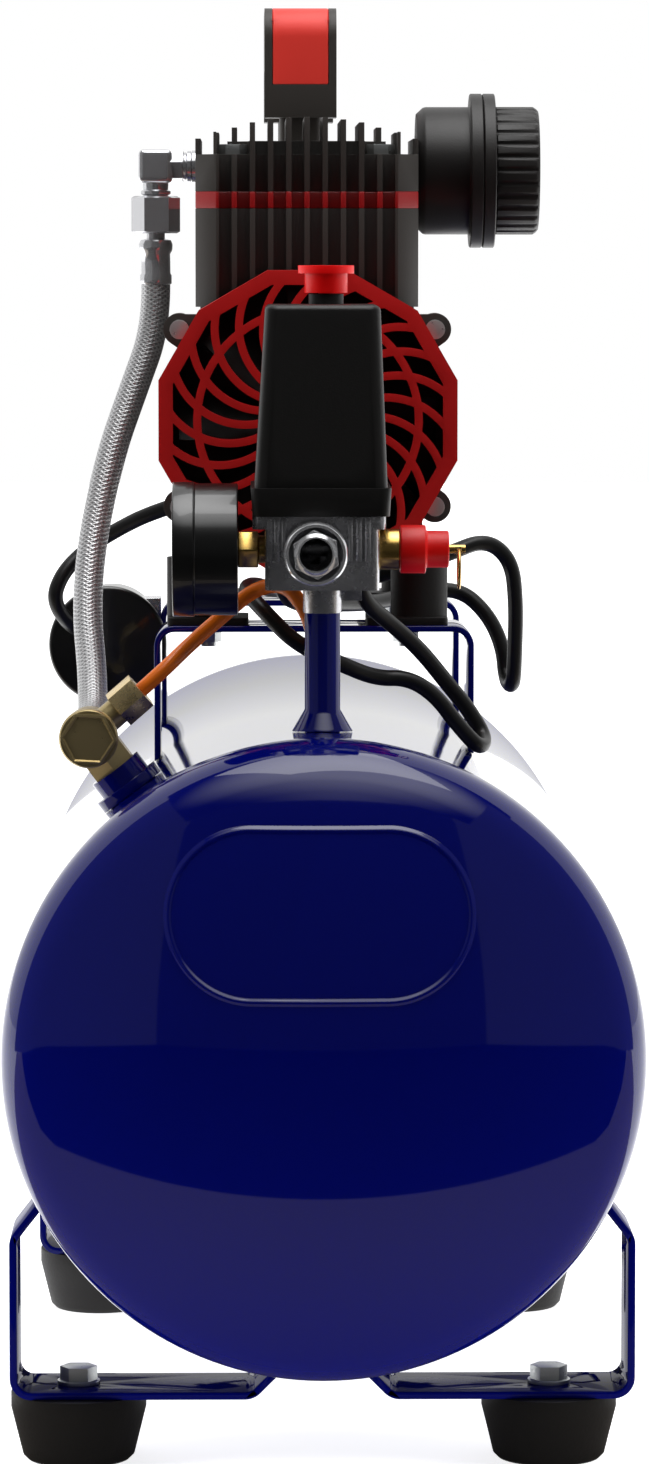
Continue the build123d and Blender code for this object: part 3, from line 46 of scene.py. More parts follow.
# ------------------------------------------------------------------ receiver sizes, in metres
TANK_R = 125 * MM
TANK_Z = 168.7 * MM
HALF_BARREL = 225 * MM
CROWN_R = 250 * MM
KNUCKLE_R = 25 * MM
KNUCKLE_RING = TANK_R - KNUCKLE_R
CAP_DROP = math.sqrt((CROWN_R - KNUCKLE_R) ** 2 - KNUCKLE_RING ** 2)
KNUCKLE_STEPS = 8
CROWN_STEPS = 26
BEAD_STEPS = 8
BEAD_WIDTH = 6 * MM
BEAD_HEIGHT = 0.1 * MM
BEAD_INSET = 5 * MM
ROUND_SIDES = 160

# ------------------------------------------------------------------ pump and fittings, in mm
CYLINDER_Y = -38
SHAFT_X = -5
SHAFT_Z = 413
VALVE_Y = -168
MANIFOLD_Y = -180
PORT_Z = 364.5
HEAD_PORT_Z = 513.8
ELBOW_X = -67.3
ELBOW_Z = 515.6
FERRULE_END = 467.0
COUPLER_X = -3.0
FILTER_START = 40.5
FILTER_SPLIT = FILTER_START + 27.2
FILTER_END = FILTER_START + 50.5
MOTOR_END_Y = 138.05

ROOT = "frame"
AXIS_X = (1, 0, 0)
AXIS_Y = (0, 1, 0)
AXIS_Z = (0, 0, 1)
SHARP_ANGLE = 38


# ------------------------------------------------------------------ shader helpers
class Socket:
    """A node's output in a material, with ordinary arithmetic."""

    def __init__(self, shader, output):
        self.shader = shader
        self.output = output

    def math(self, operation, other=0.0):
        return self.shader.node("ShaderNodeMath", {0: self, 1: other}, operation=operation)

    def __add__(self, other):
        return self.math("ADD", other)

    def __sub__(self, other):
        return self.math("SUBTRACT", other)

    def __mul__(self, other):
        return self.math("MULTIPLY", other)

    def __rsub__(self, other):
        return self.shader.node("ShaderNodeMath", {0: other, 1: self}, operation="SUBTRACT")

    __radd__ = __add__
    __rmul__ = __mul__


class Shader:
    """One material, built on a Principled surface."""

    def __init__(self, name):
        self.material = bpy.data.materials.new(name)
        self.material.use_nodes = True
        self.tree = self.material.node_tree
        self.surface = self.tree.nodes["Principled BSDF"]

    def node(self, kind, values=None, output=0, **settings):
        """Any node: settings first, then the values or links of its sockets."""
        made = self.tree.nodes.new(kind)
        for key, value in settings.items():
            setattr(made, key, value)
        for key, value in (values or {}).items():
            self.feed(made.inputs[key], value)
        return Socket(self, made.outputs[output])

    def feed(self, target, value):
        if isinstance(value, Socket):
            self.tree.links.new(value.output, target)
        else:
            target.default_value = value

    def set(self, **values):
        """Feed the surface's own sockets."""
        for key, value in values.items():
            self.feed(self.surface.inputs[key.replace("_", " ")], value)
        return self

    def place(self):
        """The point on the piece, in the object's own frame."""
        return self.node("ShaderNodeTexCoord", output="Object")

    def noise(self, scale, detail):
        values = {"Vector": self.place(), "Scale": scale, "Detail": detail}
        return self.node("ShaderNodeTexNoise", values)

    def bump(self, height, strength, distance):
        values = {"Height": height, "Strength": strength, "Distance": distance}
        return self.node("ShaderNodeBump", values)

    def ramp(self, factor, low, high):
        values = {"Value": factor, "To Min": low, "To Max": high}
        return self.node("ShaderNodeMapRange", values)

    def blend(self, factor, low, high):
        """A colour from low to high."""
        values = {0: factor, 6: rgb(*low), 7: rgb(*high)}
        return self.node("ShaderNodeMix", values, output=2, data_type="RGBA")


def rgb(r, g, b):
    return (r, g, b, 1.0)


ORANGE_PEEL = 90.0
SHEET_WAVES = 14.0
BRAID_PITCH = 520.0
BRAID_STRANDS = 12.0


def paint(name, colour, roughness, peel, coat, waves=0.0, under=0.5):
    """Gloss paint with a slight orange peel, slower waves of the sheet, and a clear coat."""
    s = Shader(name)
    wave = s.noise(ORANGE_PEEL, 2.0) + s.noise(SHEET_WAVES, 1.0) * waves
    s.set(Base_Color=rgb(*colour), Roughness=roughness)
    s.set(Coat_Weight=coat, Coat_Roughness=0.04, Specular_IOR_Level=under)
    s.set(Normal=s.bump(wave, peel, 0.002))
    return s.material


def plastic(name, colour, roughness, grain, depth):
    """Moulded plastic with fine texture."""
    s = Shader(name)
    fine = s.noise(grain, 4.0)
    s.set(Base_Color=rgb(*colour), IOR=1.4)
    s.set(Roughness=s.ramp(fine, roughness - 0.06, roughness + 0.08))
    s.set(Normal=s.bump(fine, depth, 0.0004))
    return s.material


def metal(name, colour, roughness, grain, depth, metallic=1.0):
    """Bare or plated metal with a faint uneven finish."""
    s = Shader(name)
    fine = s.noise(grain, 4.0)
    s.set(Base_Color=rgb(*colour), Metallic=metallic)
    s.set(Roughness=s.ramp(fine, roughness * 0.7, roughness * 1.4))
    s.set(Normal=s.bump(fine, depth, 0.0003))
    return s.material


def braid_material():
    """Woven steel braid: two families of fine strands, read from the tube's own attributes; the
    colour darkens with the strands' height, a painted shade in the grooves between them.
    """
    s = Shader("braid")
    along = s.node("ShaderNodeAttribute", output="Fac", attribute_name="along")
    around = s.node("ShaderNodeAttribute", output="Fac", attribute_name="around")
    lead = (along * BRAID_PITCH + around * BRAID_STRANDS).math("FRACT")
    lag = (along * BRAID_PITCH - around * BRAID_STRANDS).math("FRACT")
    lead_wave = (lead - 0.5).math("ABSOLUTE")
    lag_wave = (lag - 0.5).math("ABSOLUTE")
    height = lead_wave.math("MAXIMUM", lag_wave)
    # Painted shade: the base colour runs from near white on the strands' crowns down to dark grey
    # in the grooves between strands.
    s.set(Base_Color=s.blend(s.ramp(height, 0.0, 1.0), (0.16, 0.16, 0.165), (0.95, 0.95, 0.96)))
    s.set(Metallic=0.6, Roughness=0.34)
    s.set(Normal=s.bump(height, 0.6, 0.0008))
    return s.material


def glass_material():
    """Clear window of the gauge."""
    s = Shader("window")
    s.set(Base_Color=rgb(0.97, 0.99, 1.0), Roughness=0.03, Alpha=0.14, IOR=1.45)
    return s.material


NAVY = (0.0003, 0.0019, 0.095)
BLUE = paint("blue_gloss", NAVY, 0.35, 0.05, 1.0, waves=6.0, under=0.0)
BRACKET_BLUE = paint("bracket_blue", NAVY, 0.35, 0.05, 0.3, waves=3.0, under=0.0)
BLACK_METAL = plastic("black_enamel", (0.034, 0.030, 0.027), 0.42, 1400.0, 0.1)
BLACK_GLOSS = paint("black_gloss", (0.0015, 0.0015, 0.0015), 0.3, 0.01, 0.5)
RED_BAND = paint("band_red", (0.27, 0.003, 0.004), 0.4, 0.01, 0.0)
RED = plastic("red_plastic", (0.44, 0.008, 0.008), 0.34, 1200.0, 0.05)
RED_CAP = plastic("red_cap", (0.66, 0.002, 0.001), 0.36, 1200.0, 0.03)
KNOB_RED = plastic("knob_red", (0.90, 0.002, 0.002), 0.36, 1200.0, 0.03)
FILTER_BLACK = plastic("filter_black", (0.011, 0.0095, 0.009), 0.4, 1500.0, 0.12)
RED_INSERT = plastic("red_insert", (0.82, 0.046, 0.033), 0.4, 1300.0, 0.06)
BLACK = plastic("black_plastic", (0.0042, 0.0038, 0.0036), 0.4, 1500.0, 0.12)
HANDLE = plastic("handle_plastic", (0.04, 0.035, 0.031), 0.45, 1500.0, 0.16)
RUBBER = plastic("rubber_black", (0.0055, 0.0048, 0.0045), 0.55, 700.0, 0.2)
CABLE = plastic("cable_sheath", (0.006, 0.006, 0.006), 0.34, 700.0, 0.06)
CHROME = metal("chrome_plate", (0.62, 0.62, 0.64), 0.13, 300.0, 0.02, 0.82)
ZINC = metal("zinc_plate", (0.58, 0.60, 0.60), 0.3, 600.0, 0.08, 0.75)
STEEL = metal("machined_steel", (0.5, 0.5, 0.52), 0.3, 600.0, 0.08)
CAST = metal("cast_aluminium", (0.52, 0.52, 0.54), 0.24, 420.0, 0.3, 0.85)
BRASS = metal("turned_brass", (0.70, 0.45, 0.13), 0.22, 500.0, 0.05)
YELLOW_ZINC = metal("yellow_zinc", (0.80, 0.62, 0.32), 0.27, 500.0, 0.08)
BRONZE = metal("dark_bronze", (0.42, 0.33, 0.16), 0.3, 500.0, 0.12, 0.8)
ORANGE = plastic("orange_tube", (0.72, 0.15, 0.010), 0.2, 500.0, 0.02)
DIAL = plastic("dial_white", (0.85, 0.85, 0.83), 0.5, 500.0, 0.01)
INK = plastic("dial_ink", (0.012, 0.012, 0.012), 0.5, 500.0, 0.01)
FOAM = plastic("filter_foam", (0.16, 0.16, 0.17), 0.9, 500.0, 0.9)
BRAID = braid_material()
GLASS = glass_material()

# The finish of each CAD node.
FINISH = {
    "tank_shell": BLUE, "tank_cap_front": BLUE, "tank_cap_rear": BLUE, "tank_bosses": BLUE,
    "tank_post": BLUE, "foot_brackets": BRACKET_BLUE,
    "pump_bracket_front": BLUE, "pump_bracket_rear": BLUE,
    "rubber_feet": RUBBER, "pump_mounts": RUBBER, "foot_bolts": ZINC, "mount_bolts": ZINC,
    "pump_bolts": ZINC, "shaft_bearings": STEEL, "drain_valve": BRASS, "gauge_stem": BRASS,
    "safety_valve_body": BRASS, "pull_pin": BRASS, "pull_ring": BRASS,
    "unloader_fittings": YELLOW_ZINC, "check_valve_body": BRONZE, "check_valve_cap": BRONZE,
    "crankcase": BLACK_METAL, "cylinder_block": BLACK_METAL, "cylinder_head": BLACK_METAL,
    "motor_housing": BLACK_METAL, "gauge_case": BLACK_GLOSS, "valve_plate": RED_BAND,
    "piston": CAST, "connecting_rod": CAST, "manifold": CAST, "motor_rotor": STEEL,
    "crankshaft": STEEL, "motor_stator": STEEL, "fan_guard": RED, "switch_knob": KNOB_RED,
    "safety_valve_cap": RED_CAP, "handle_insert": RED_INSERT, "cooling_fan": BLACK,
    "filter_body": BLACK, "filter_cap": BLACK, "switch_base": BLACK, "switch_cover": BLACK,
    "cable_glands": BLACK,
    "handle_body": HANDLE, "filter_element": FOAM, "discharge_elbow": CHROME,
    "hose_fittings": CHROME, "coupler_body": CHROME, "coupler_sleeve": CHROME,
    "capacitor_clamp": CHROME, "gauge_dial": DIAL, "gauge_needle": INK, "gauge_lens": GLASS,
    "capacitor": BLACK_GLOSS,
}
# How far the edges of a CAD node are rounded, in millimetres, where it isn't USUAL_ROUNDING.
USUAL_ROUNDING = 0.5
ROUNDING = {
    "switch_cover": 2.2, "switch_base": 1.0, "handle_body": 2.6, "handle_insert": 0.8,
    "manifold": 0.9, "fan_guard": 0.7, "filter_body": 0.8, "filter_cap": 0.8, "cylinder_head": 0.35,
    "cylinder_block": 0.35, "motor_housing": 1.5, "crankcase": 1.0, "discharge_elbow": 1.0,
    "hose_fittings": 0.6, "check_valve_cap": 0.7, "check_valve_body": 0.6, "capacitor": 0.8,
    "safety_valve_cap": 0.7, "switch_knob": 0.7, "gauge_case": 0.6, "coupler_sleeve": 0.25,
    "rubber_feet": 0.8, "pull_ring": 0.0, "gauge_needle": 0.0, "gauge_lens": 0.0,
    "cooling_fan": 0.3,
}


def soften(obj, width):
    """Merge doubled points, round sharp edges by width in millimetres and shade smoothly."""
    weld = obj.modifiers.new("weld", "WELD")
    weld.merge_threshold = 0.02 * MM
    if width:
        bevel = obj.modifiers.new("bevel", "BEVEL")
        bevel.width = width * MM
        bevel.segments = 3
        bevel.limit_method = "ANGLE"
        bevel.angle_limit = math.radians(SHARP_ANGLE)
        bevel.use_clamp_overlap = True
        bevel.harden_normals = False
    for face in obj.data.polygons:
        face.use_smooth = True


for node, material in FINISH.items():
    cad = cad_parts[node]
    cad.data.materials.clear()
    cad.data.materials.append(material)
    soften(cad, ROUNDING.get(node, USUAL_ROUNDING))


# ------------------------------------------------------------------ mesh helpers
def new_piece(name, mesh, material, body, replaced, smooth_angle=SHARP_ANGLE):
    """Link a finished mesh, smooth it, and tie it to its body, CAD nodes and colour slot."""
    obj = bpy.data.objects.new(name, mesh)
    bpy.context.scene.collection.objects.link(obj)
    mesh.materials.append(material)
    mesh.shade_smooth()
    mesh.set_sharp_from_angle(angle=math.radians(smooth_angle))
    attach(obj, body)
    if replaced:
        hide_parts(*replaced)
    return obj


def mesh_from(bm, name):
    """A mesh with its faces outwards."""
    mesh = bpy.data.meshes.new(name)
    bmesh.ops.recalc_face_normals(bm, faces=bm.faces)
    bm.to_mesh(mesh)
    bm.free()
    return mesh


def bridge(bm, rings, closed_rings):
    """Quads between successive rings of points."""
    for near, far in zip(rings, rings[1:]):
        count = len(near)
        last = count if closed_rings else count - 1
        for i in range(last):
            j = (i + 1) % count
            bm.faces.new((near[i], near[j], far[j], far[i]))


def lathe(bm, profile, origin, axis, segments=96, turned=0.0, ripple=None):
    """Turn a profile of (radius, distance along axis) about a line, capping ends on the axis."""
    axis = Vector(axis).normalized()
    side = axis.orthogonal().normalized()
    side = Matrix.Rotation(math.radians(turned), 3, axis) @ side
    up = axis.cross(side)
    rings = []
    for radius, along in profile:
        centre = Vector(origin) + axis * along
        if radius < 1e-7:
            rings.append([bm.verts.new(centre)])
            continue
        ring = []
        for i in range(segments):
            turn = 2 * math.pi * i / segments
            reach = radius - ripple(turn, radius) if ripple else radius
            out = side * math.cos(turn) + up * math.sin(turn)
            ring.append(bm.verts.new(centre + reach * out))
        rings.append(ring)
    for near, far in zip(rings, rings[1:]):
        if len(near) == 1 and len(far) == 1:
            continue
        for i in range(segments):
            j = (i + 1) % segments
            if len(near) == 1:
                bm.faces.new((near[0], far[i], far[j]))
            elif len(far) == 1:
                bm.faces.new((near[i], near[j], far[0]))
            else:
                bm.faces.new((near[i], near[j], far[j], far[i]))


def turned_piece(name, shapes, material, body, replaced):
    """Several lathe shapes as one piece, each (profile, origin, axis, options) in millimetres."""
    bm = bmesh.new()
    for profile, origin, axis, options in shapes:
        scaled = [(radius * MM, along * MM) for radius, along in profile]
        lathe(bm, scaled, Vector(origin) * MM, axis, **options)
    new_piece(name, mesh_from(bm, name), material, body, replaced)


def nut_profile(across_flats, start, end, shoulder):
    """Hexagon bar with chamfered ends, to be turned with 6 segments."""
    corner = across_flats / 2 / math.cos(math.radians(30))
    return [(0, start), (corner - shoulder, start), (corner, start + shoulder * 0.6),
            (corner, end - shoulder * 0.6), (corner - shoulder, end), (0, end)]


def box_mesh(name, size, centre):
    """A small bar in millimetres, to be repeated."""
    bm = bmesh.new()
    bmesh.ops.create_cube(bm, size=1.0)
    bmesh.ops.scale(bm, vec=Vector(size) * MM, verts=bm.verts)
    bmesh.ops.translate(bm, vec=Vector(centre) * MM, verts=bm.verts)
    return mesh_from(bm, name)


def repeat_tree():
    """Geometry Nodes: copies of an item turned about Z, from a start angle by equal steps."""
    tree = bpy.data.node_groups.new("turned_copies", "GeometryNodeTree")
    face = tree.interface
    face.new_socket(name="Geometry", in_out="OUTPUT", socket_type="NodeSocketGeometry")
    sockets = {}
    for label, kind in (("Count", "Int"), ("Start", "Float"), ("Step", "Float"),
                        ("Item", "Object"), ("Material", "Material")):
        made = face.new_socket(name=label, in_out="INPUT", socket_type="NodeSocket" + kind)
        sockets[label] = made.identifier
    add = tree.nodes.new
    link = tree.links.new
    given = add("NodeGroupInput")
    line = add("GeometryNodeMeshLine")
    line.inputs["Offset"].default_value = (0, 0, 0)
    link(given.outputs["Count"], line.inputs["Count"])
    index = add("GeometryNodeInputIndex")
    angle = add("ShaderNodeMath")
    angle.operation = "MULTIPLY_ADD"
    link(index.outputs[0], angle.inputs[0])
    link(given.outputs["Step"], angle.inputs[1])
    link(given.outputs["Start"], angle.inputs[2])
    turn = add("ShaderNodeCombineXYZ")
    link(angle.outputs[0], turn.inputs["Z"])
    item = add("GeometryNodeObjectInfo")
    link(given.outputs["Item"], item.inputs["Object"])
    copies = add("GeometryNodeInstanceOnPoints")
    link(line.outputs["Mesh"], copies.inputs["Points"])
    link(item.outputs["Geometry"], copies.inputs["Instance"])
    link(turn.outputs[0], copies.inputs["Rotation"])
    real = add("GeometryNodeRealizeInstances")
    link(copies.outputs["Instances"], real.inputs["Geometry"])
    finish = add("GeometryNodeSetMaterial")
    link(real.outputs["Geometry"], finish.inputs["Geometry"])
    link(given.outputs["Material"], finish.inputs["Material"])
    end = add("NodeGroupOutput")
    link(finish.outputs["Geometry"], end.inputs["Geometry"])
    return tree, sockets


REPEAT, REPEAT_INPUTS = repeat_tree()


def turned_copies(name, item_mesh, count, start, step, place, material, body):
    """Copies of item_mesh about Z, put in place by a matrix and made one plain mesh."""
    item = bpy.data.objects.new(name + "_item", item_mesh)
    host = bpy.data.objects.new(name + "_host", bpy.data.meshes.new(name + "_host"))
    bpy.context.scene.collection.objects.link(item)
    bpy.context.scene.collection.objects.link(host)
    modifier = host.modifiers.new("copies", "NODES")
    modifier.node_group = REPEAT
    modifier[REPEAT_INPUTS["Count"]] = count
    modifier[REPEAT_INPUTS["Start"]] = math.radians(start)
    modifier[REPEAT_INPUTS["Step"]] = math.radians(step)
    modifier[REPEAT_INPUTS["Item"]] = item
    modifier[REPEAT_INPUTS["Material"]] = material
    graph = bpy.context.evaluated_depsgraph_get()
    mesh = bpy.data.meshes.new_from_object(host.evaluated_get(graph))
    host.modifiers.remove(modifier)
    bpy.data.objects.remove(host)
    bpy.data.objects.remove(item)
    mesh.name = name
    mesh.transform(place)
    mesh.materials.clear()
    new_piece(name, mesh, material, body, ())


def facing(origin, right, up):
    """Matrix with local X and Y along right and up, at an origin in millimetres."""
    right = Vector(right)
    up = Vector(up)
    out = right.cross(up)
    turned = Matrix((right, up, out)).transposed().to_4x4()
    return Matrix.Translation(Vector(origin) * MM) @ turned


def smooth_line(name, points, between=10):
    """Points read from a smooth open NURBS curve that the route's points control."""
    data = bpy.data.curves.new(name, "CURVE")
    data.dimensions = "3D"
    data.resolution_u = between
    spline = data.splines.new("NURBS")
    spline.points.add(len(points) - 1)
    for target, point in zip(spline.points, points):
        target.co = (*(Vector(point) * MM), 1.0)
    spline.order_u = 3
    spline.use_endpoint_u = True
    source = bpy.data.objects.new(name, data)
    bpy.context.scene.collection.objects.link(source)
    graph = bpy.context.evaluated_depsgraph_get()
    mesh = bpy.data.meshes.new_from_object(source.evaluated_get(graph))
    line = [vertex.co.copy() for vertex in mesh.vertices]
    bpy.data.objects.remove(source)
    bpy.data.meshes.remove(mesh)
    return line


def tube_mesh(name, path, radius, sides):
    """Round bar along a path, with attributes along (metres) and around (turns)."""
    bm = bmesh.new()
    along = bm.verts.layers.float.new("along")
    around = bm.verts.layers.float.new("around")
    tangent = (path[1] - path[0]).normalized()
    side = tangent.orthogonal().normalized()
    travelled = 0.0
    rings = []
    for k, point in enumerate(path):
        before = path[max(k - 1, 0)]
        after = path[min(k + 1, len(path) - 1)]
        turned = (after - before).normalized()
        side = (side - turned * side.dot(turned)).normalized()
        up = turned.cross(side)
        travelled += (point - before).length
        ring = []
        for i in range(sides + 1):
            turn = 2 * math.pi * i / sides
            out = side * math.cos(turn) + up * math.sin(turn)
            vert = bm.verts.new(point + radius * out)
            vert[along] = travelled
            vert[around] = i / sides
            ring.append(vert)
        rings.append(ring)
    bridge(bm, rings, closed_rings=False)
    bm.faces.new(rings[0][:-1])
    bm.faces.new(list(reversed(rings[-1][:-1])))
    return mesh_from(bm, name)


# ------------------------------------------------------------------ air receiver
def cap_profile():
    """(radius, distance out from the seam) of a dished cap: knuckle, then crown."""
    meet = math.atan2(KNUCKLE_RING, CAP_DROP)
    profile = []
    for i in range(KNUCKLE_STEPS + 1):
        turn = math.pi / 2 - (math.pi / 2 - meet) * i / KNUCKLE_STEPS
        profile.append((KNUCKLE_RING + KNUCKLE_R * math.sin(turn), KNUCKLE_R * math.cos(turn)))
    for i in range(1, CROWN_STEPS + 1):
        turn = meet * (1 - i / CROWN_STEPS)
        profile.append((CROWN_R * math.sin(turn), CROWN_R * math.cos(turn) - CAP_DROP))
    return profile


def cap_face(x, z):
    """How far the cap's crown stands out from the seam at a point seen from the front."""
    return math.sqrt(CROWN_R ** 2 - x ** 2 - (z - TANK_Z) ** 2) - CAP_DROP


def bead(middle):
    """A low rounded weld bead round the receiver, as (radius, along) points."""
    points = []
    for i in range(BEAD_STEPS + 1):
        turn = math.pi * i / BEAD_STEPS
        along = middle - BEAD_WIDTH / 2 * math.cos(turn)
        points.append((TANK_R + BEAD_HEIGHT * math.sin(turn), along))
    return points


def receiver_part(node, profile, origin, axis):
    """The barrel or a cap, in place of its CAD node."""
    bm = bmesh.new()
    lathe(bm, profile, origin, axis, ROUND_SIDES)
    name = node + "_look"
    new_piece(name, mesh_from(bm, name), BLUE, ROOT, (node,), 60)


barrel = [(TANK_R, -HALF_BARREL)] + bead(-HALF_BARREL + BEAD_INSET)
barrel += bead(HALF_BARREL - BEAD_INSET) + [(TANK_R, HALF_BARREL)]
receiver_part("tank_shell", barrel, (0, 0, TANK_Z), AXIS_Y)
for way, node in ((-1, "tank_cap_front"), (1, "tank_cap_rear")):
    receiver_part(node, cap_profile(), (0, way * HALF_BARREL, TANK_Z), (0, way, 0))


def stadium(half_width, half_height, count=160):
    """Points round a panel with half-round ends, as (x, z)."""
    straight = half_width - half_height
    arc = math.pi * half_height
    total = 4 * straight + 2 * arc
    points = []
    for i in range(count):
        walk = total * i / count
        if walk < 2 * straight:
            points.append((walk - straight, half_height))
        elif walk < 2 * straight + arc:
            turn = math.pi / 2 - (walk - 2 * straight) / half_height
            x = straight + half_height * math.cos(turn)
            points.append((x, half_height * math.sin(turn)))
        elif walk < 4 * straight + arc:
            points.append((3 * straight + arc - walk, -half_height))
        else:
            turn = -math.pi / 2 - (walk - 4 * straight - arc) / half_height
            x = -straight + half_height * math.cos(turn)
            points.append((x, half_height * math.sin(turn)))
    return points


PANEL_STEPS = 4
PANEL_REACH = 1.9 * MM
PANEL_SUNK = 0.1 * MM


def pressed_panel(name, centre, half_width, half_height, rise):
    """Raised outline of a pressed panel on the front cap."""
    bm = bmesh.new()
    rings = []
    outline = stadium(half_width, half_height)
    for k in range(-PANEL_STEPS, PANEL_STEPS + 1):
        across = k / PANEL_STEPS * PANEL_REACH
        lift = rise * math.cos(k / PANEL_STEPS * math.pi / 2) ** 2 - PANEL_SUNK
        ring = []
        for i, (x, z) in enumerate(outline):
            before = outline[i - 1]
            after = outline[(i + 1) % len(outline)]
            dx, dz = after[0] - before[0], after[1] - before[1]
            size = math.hypot(dx, dz)
            px = centre[0] + x - dz / size * across
            pz = centre[1] + z + dx / size * across
            ring.append(bm.verts.new((px, -HALF_BARREL - cap_face(px, pz) - lift, pz)))
        rings.append(ring)
    bridge(bm, rings, closed_rings=True)
    new_piece(name, mesh_from(bm, name), BLUE, ROOT, (), 80)


pressed_panel("pressed_panel", (-2 * MM, TANK_Z + 61 * MM), 58 * MM, 32 * MM, 0.9 * MM)

# ------------------------------------------------------------------ hose, tube and wiring
BOSS_TILT = math.radians(37)
BOSS = Vector((-math.sin(BOSS_TILT), 0, math.cos(BOSS_TILT)))
VALVE = Vector((0, VALVE_Y, TANK_Z / MM)) + BOSS * 152.5
PORT_TILT = math.radians(41)
SIDE_PORT = Vector((math.cos(PORT_TILT), 0, math.sin(PORT_TILT)))

# Routes of the cords, in millimetres.
hose_route = [
    (ELBOW_X, CYLINDER_Y, FERRULE_END),
    (ELBOW_X, CYLINDER_Y, FERRULE_END - 18),
    (ELBOW_X - 9.5, -43, FERRULE_END - 44),
    (-86, -51, 397),
    (-93.5, -63, 362),
    (-95.5, -77, 334),
    (-92.5, -96, 309),
    (VALVE.x, -120, VALVE.z),
    (VALVE.x, -143, VALVE.z),
]
tube_route = [
    tuple(VALVE + SIDE_PORT * 17),
    tuple(VALVE + SIDE_PORT * 37),
    (-53, -158, 325),
    (-38, -150, 337.5),
    (-26, -148, 347.5),
    (-14, -157, 349.5),
    (-6, -164, 339),
    (-3, -158, 328.5),
    (-1.4, -147, 328),
    (-1.4, -142, 339),
    (-1.4, -142, 368.5),
]
switch_route = [
    (14, -146, 374.5), (14, -146, 355), (16.5, -142, 342), (28, -130, 332),
    (40, -122, 321), (51, -115, 307), (60, -112, 296), (67, -112, 284),
    (64, -126.5, 281), (55, -126.5, 291), (46, -126.5, 303), (35, -128, 310),
    (22, -132, 310), (7, -143, 317), (-10, -149, 325), (-22, -145, 337),
    (-31, -132, 346), (-27, -114, 347), (-20, -88, 343), (-16, -55, 341),
    (-13, -22, 337), (-12, -0.4, 333.8), (-12, 14, 353),
]
motor_route = [
    (-16.5, -146, 374.5), (-16.5, -146, 356), (-15, -131, 343), (-8, -106, 338),
    (4, -72, 336), (22, -38, 334), (42, -12, 337), (60, -5, 338.5), (72, -8, 328),
    (78.5, -11, 314), (79.5, -13, 300), (82, -28.5, 298), (82.5, -31, 313),
    (83, -31, 334), (81, -32, 352), (70, -35, 361), (54, -42, 355), (36, -45, 349),
    (18, -37, 344), (9, -18, 336), (8, -0.4, 333.8), (8, 14, 353),
]
capacitor_route = [
    (-104, 50, 318.6), (-104, 33, 318.6), (-113, 22, 331), (-109, 24, 343),
    (-99, 30, 353), (-86, 25, 361.5), (-70.1, 17, 369.8), (-53, 14, 375),
]

for name, route, width, sides, material, slot, stiffness in (
    ("discharge_hose", hose_route, 12.0, 24, BRAID, "braid", "stiff"),
    ("unloader_tube", tube_route, 6.0, 14, ORANGE, "orange_tube", "stiff"),
    ("switch_cable", switch_route, 6.5, 14, CABLE, "cable_black", "medium"),
    ("motor_cable", motor_route, 6.5, 14, CABLE, "cable_black", "medium"),
    ("capacitor_cable", capacitor_route, 6.5, 14, CABLE, "cable_black", "medium"),
):
    path = smooth_line(name + "_line", route)
    mesh = tube_mesh(name + "_look", path, width / 2 * MM, sides)
    cord = new_piece(name + "_look", mesh, material, ROOT, (name,))
    width * MM

# ------------------------------------------------------------------ elbow and hose ends
ELBOW = (ELBOW_X, CYLINDER_Y, ELBOW_Z)
HOSE_LINE = (ELBOW_X, CYLINDER_Y, 0)

bm = bmesh.new()
bmesh.ops.create_cube(bm, size=14 * MM)
bmesh.ops.bevel(bm, geom=bm.edges[:], offset=2.6 * MM, segments=4, affect="EDGES", profile=0.6)
bmesh.ops.translate(bm, vec=Vector(ELBOW) * MM, verts=bm.verts)
new_piece("elbow_block", mesh_from(bm, "elbow_block"), CHROME, ROOT, (), 50)

side_nut = nut_profile(12, 5, 11.5, 0.6)
nipple = [
    (0, 11), (5.4, 11), (5.8, 11.6), (5.8, 12.6), (5.2, 13), (6.4, 13.2), (6.4, 14.6),
    (5.6, 14.9), (6.6, 15.1), (6.6, 16.8), (4.5, 16.8), (4.5, 23), (0, 23),
]
down_neck = [
    (0, -23), (5.1, -23), (5.1, -12), (6.2, -11.4), (6.2, -10.2), (5.2, -9.6), (5.4, -5), (0, -5),
]
turned_piece("discharge_elbow_look", [
    (side_nut, ELBOW, AXIS_X, {"segments": 6}),
    (nipple, ELBOW, AXIS_X, {}),
    (down_neck, ELBOW, AXIS_Z, {}),
], CHROME, ROOT, ("discharge_elbow",))

union_nut = nut_profile(17.5, 488, 503.4, 1.3)
stub = [(0, 484), (4.2, 484), (3.8, 485.8), (3.8, 488.2), (0, 488.2)]
ferrule = [
    (0, 467), (6.4, 467), (6.6, 467.5), (6.6, 470.6), (6.1, 471.4), (6.0, 479.5), (6.9, 481),
    (7.0, 483.5), (6.3, 485.2), (4.0, 485.8), (0, 485.8),
]
valve_ferrule = [
    (0, -156), (6.3, -156), (6.3, -150), (5.9, -149), (6.3, -144), (6.3, -143), (0, -143),
]
turned_piece("hose_fittings_look", [
    (union_nut, HOSE_LINE, AXIS_Z, {"segments": 6, "turned": 18}),
    (stub, HOSE_LINE, AXIS_Z, {}),
    (ferrule, HOSE_LINE, AXIS_Z, {}),
    (valve_ferrule, (VALVE.x, 0, VALVE.z), AXIS_Y, {}),
], CHROME, ROOT, ("hose_fittings",))

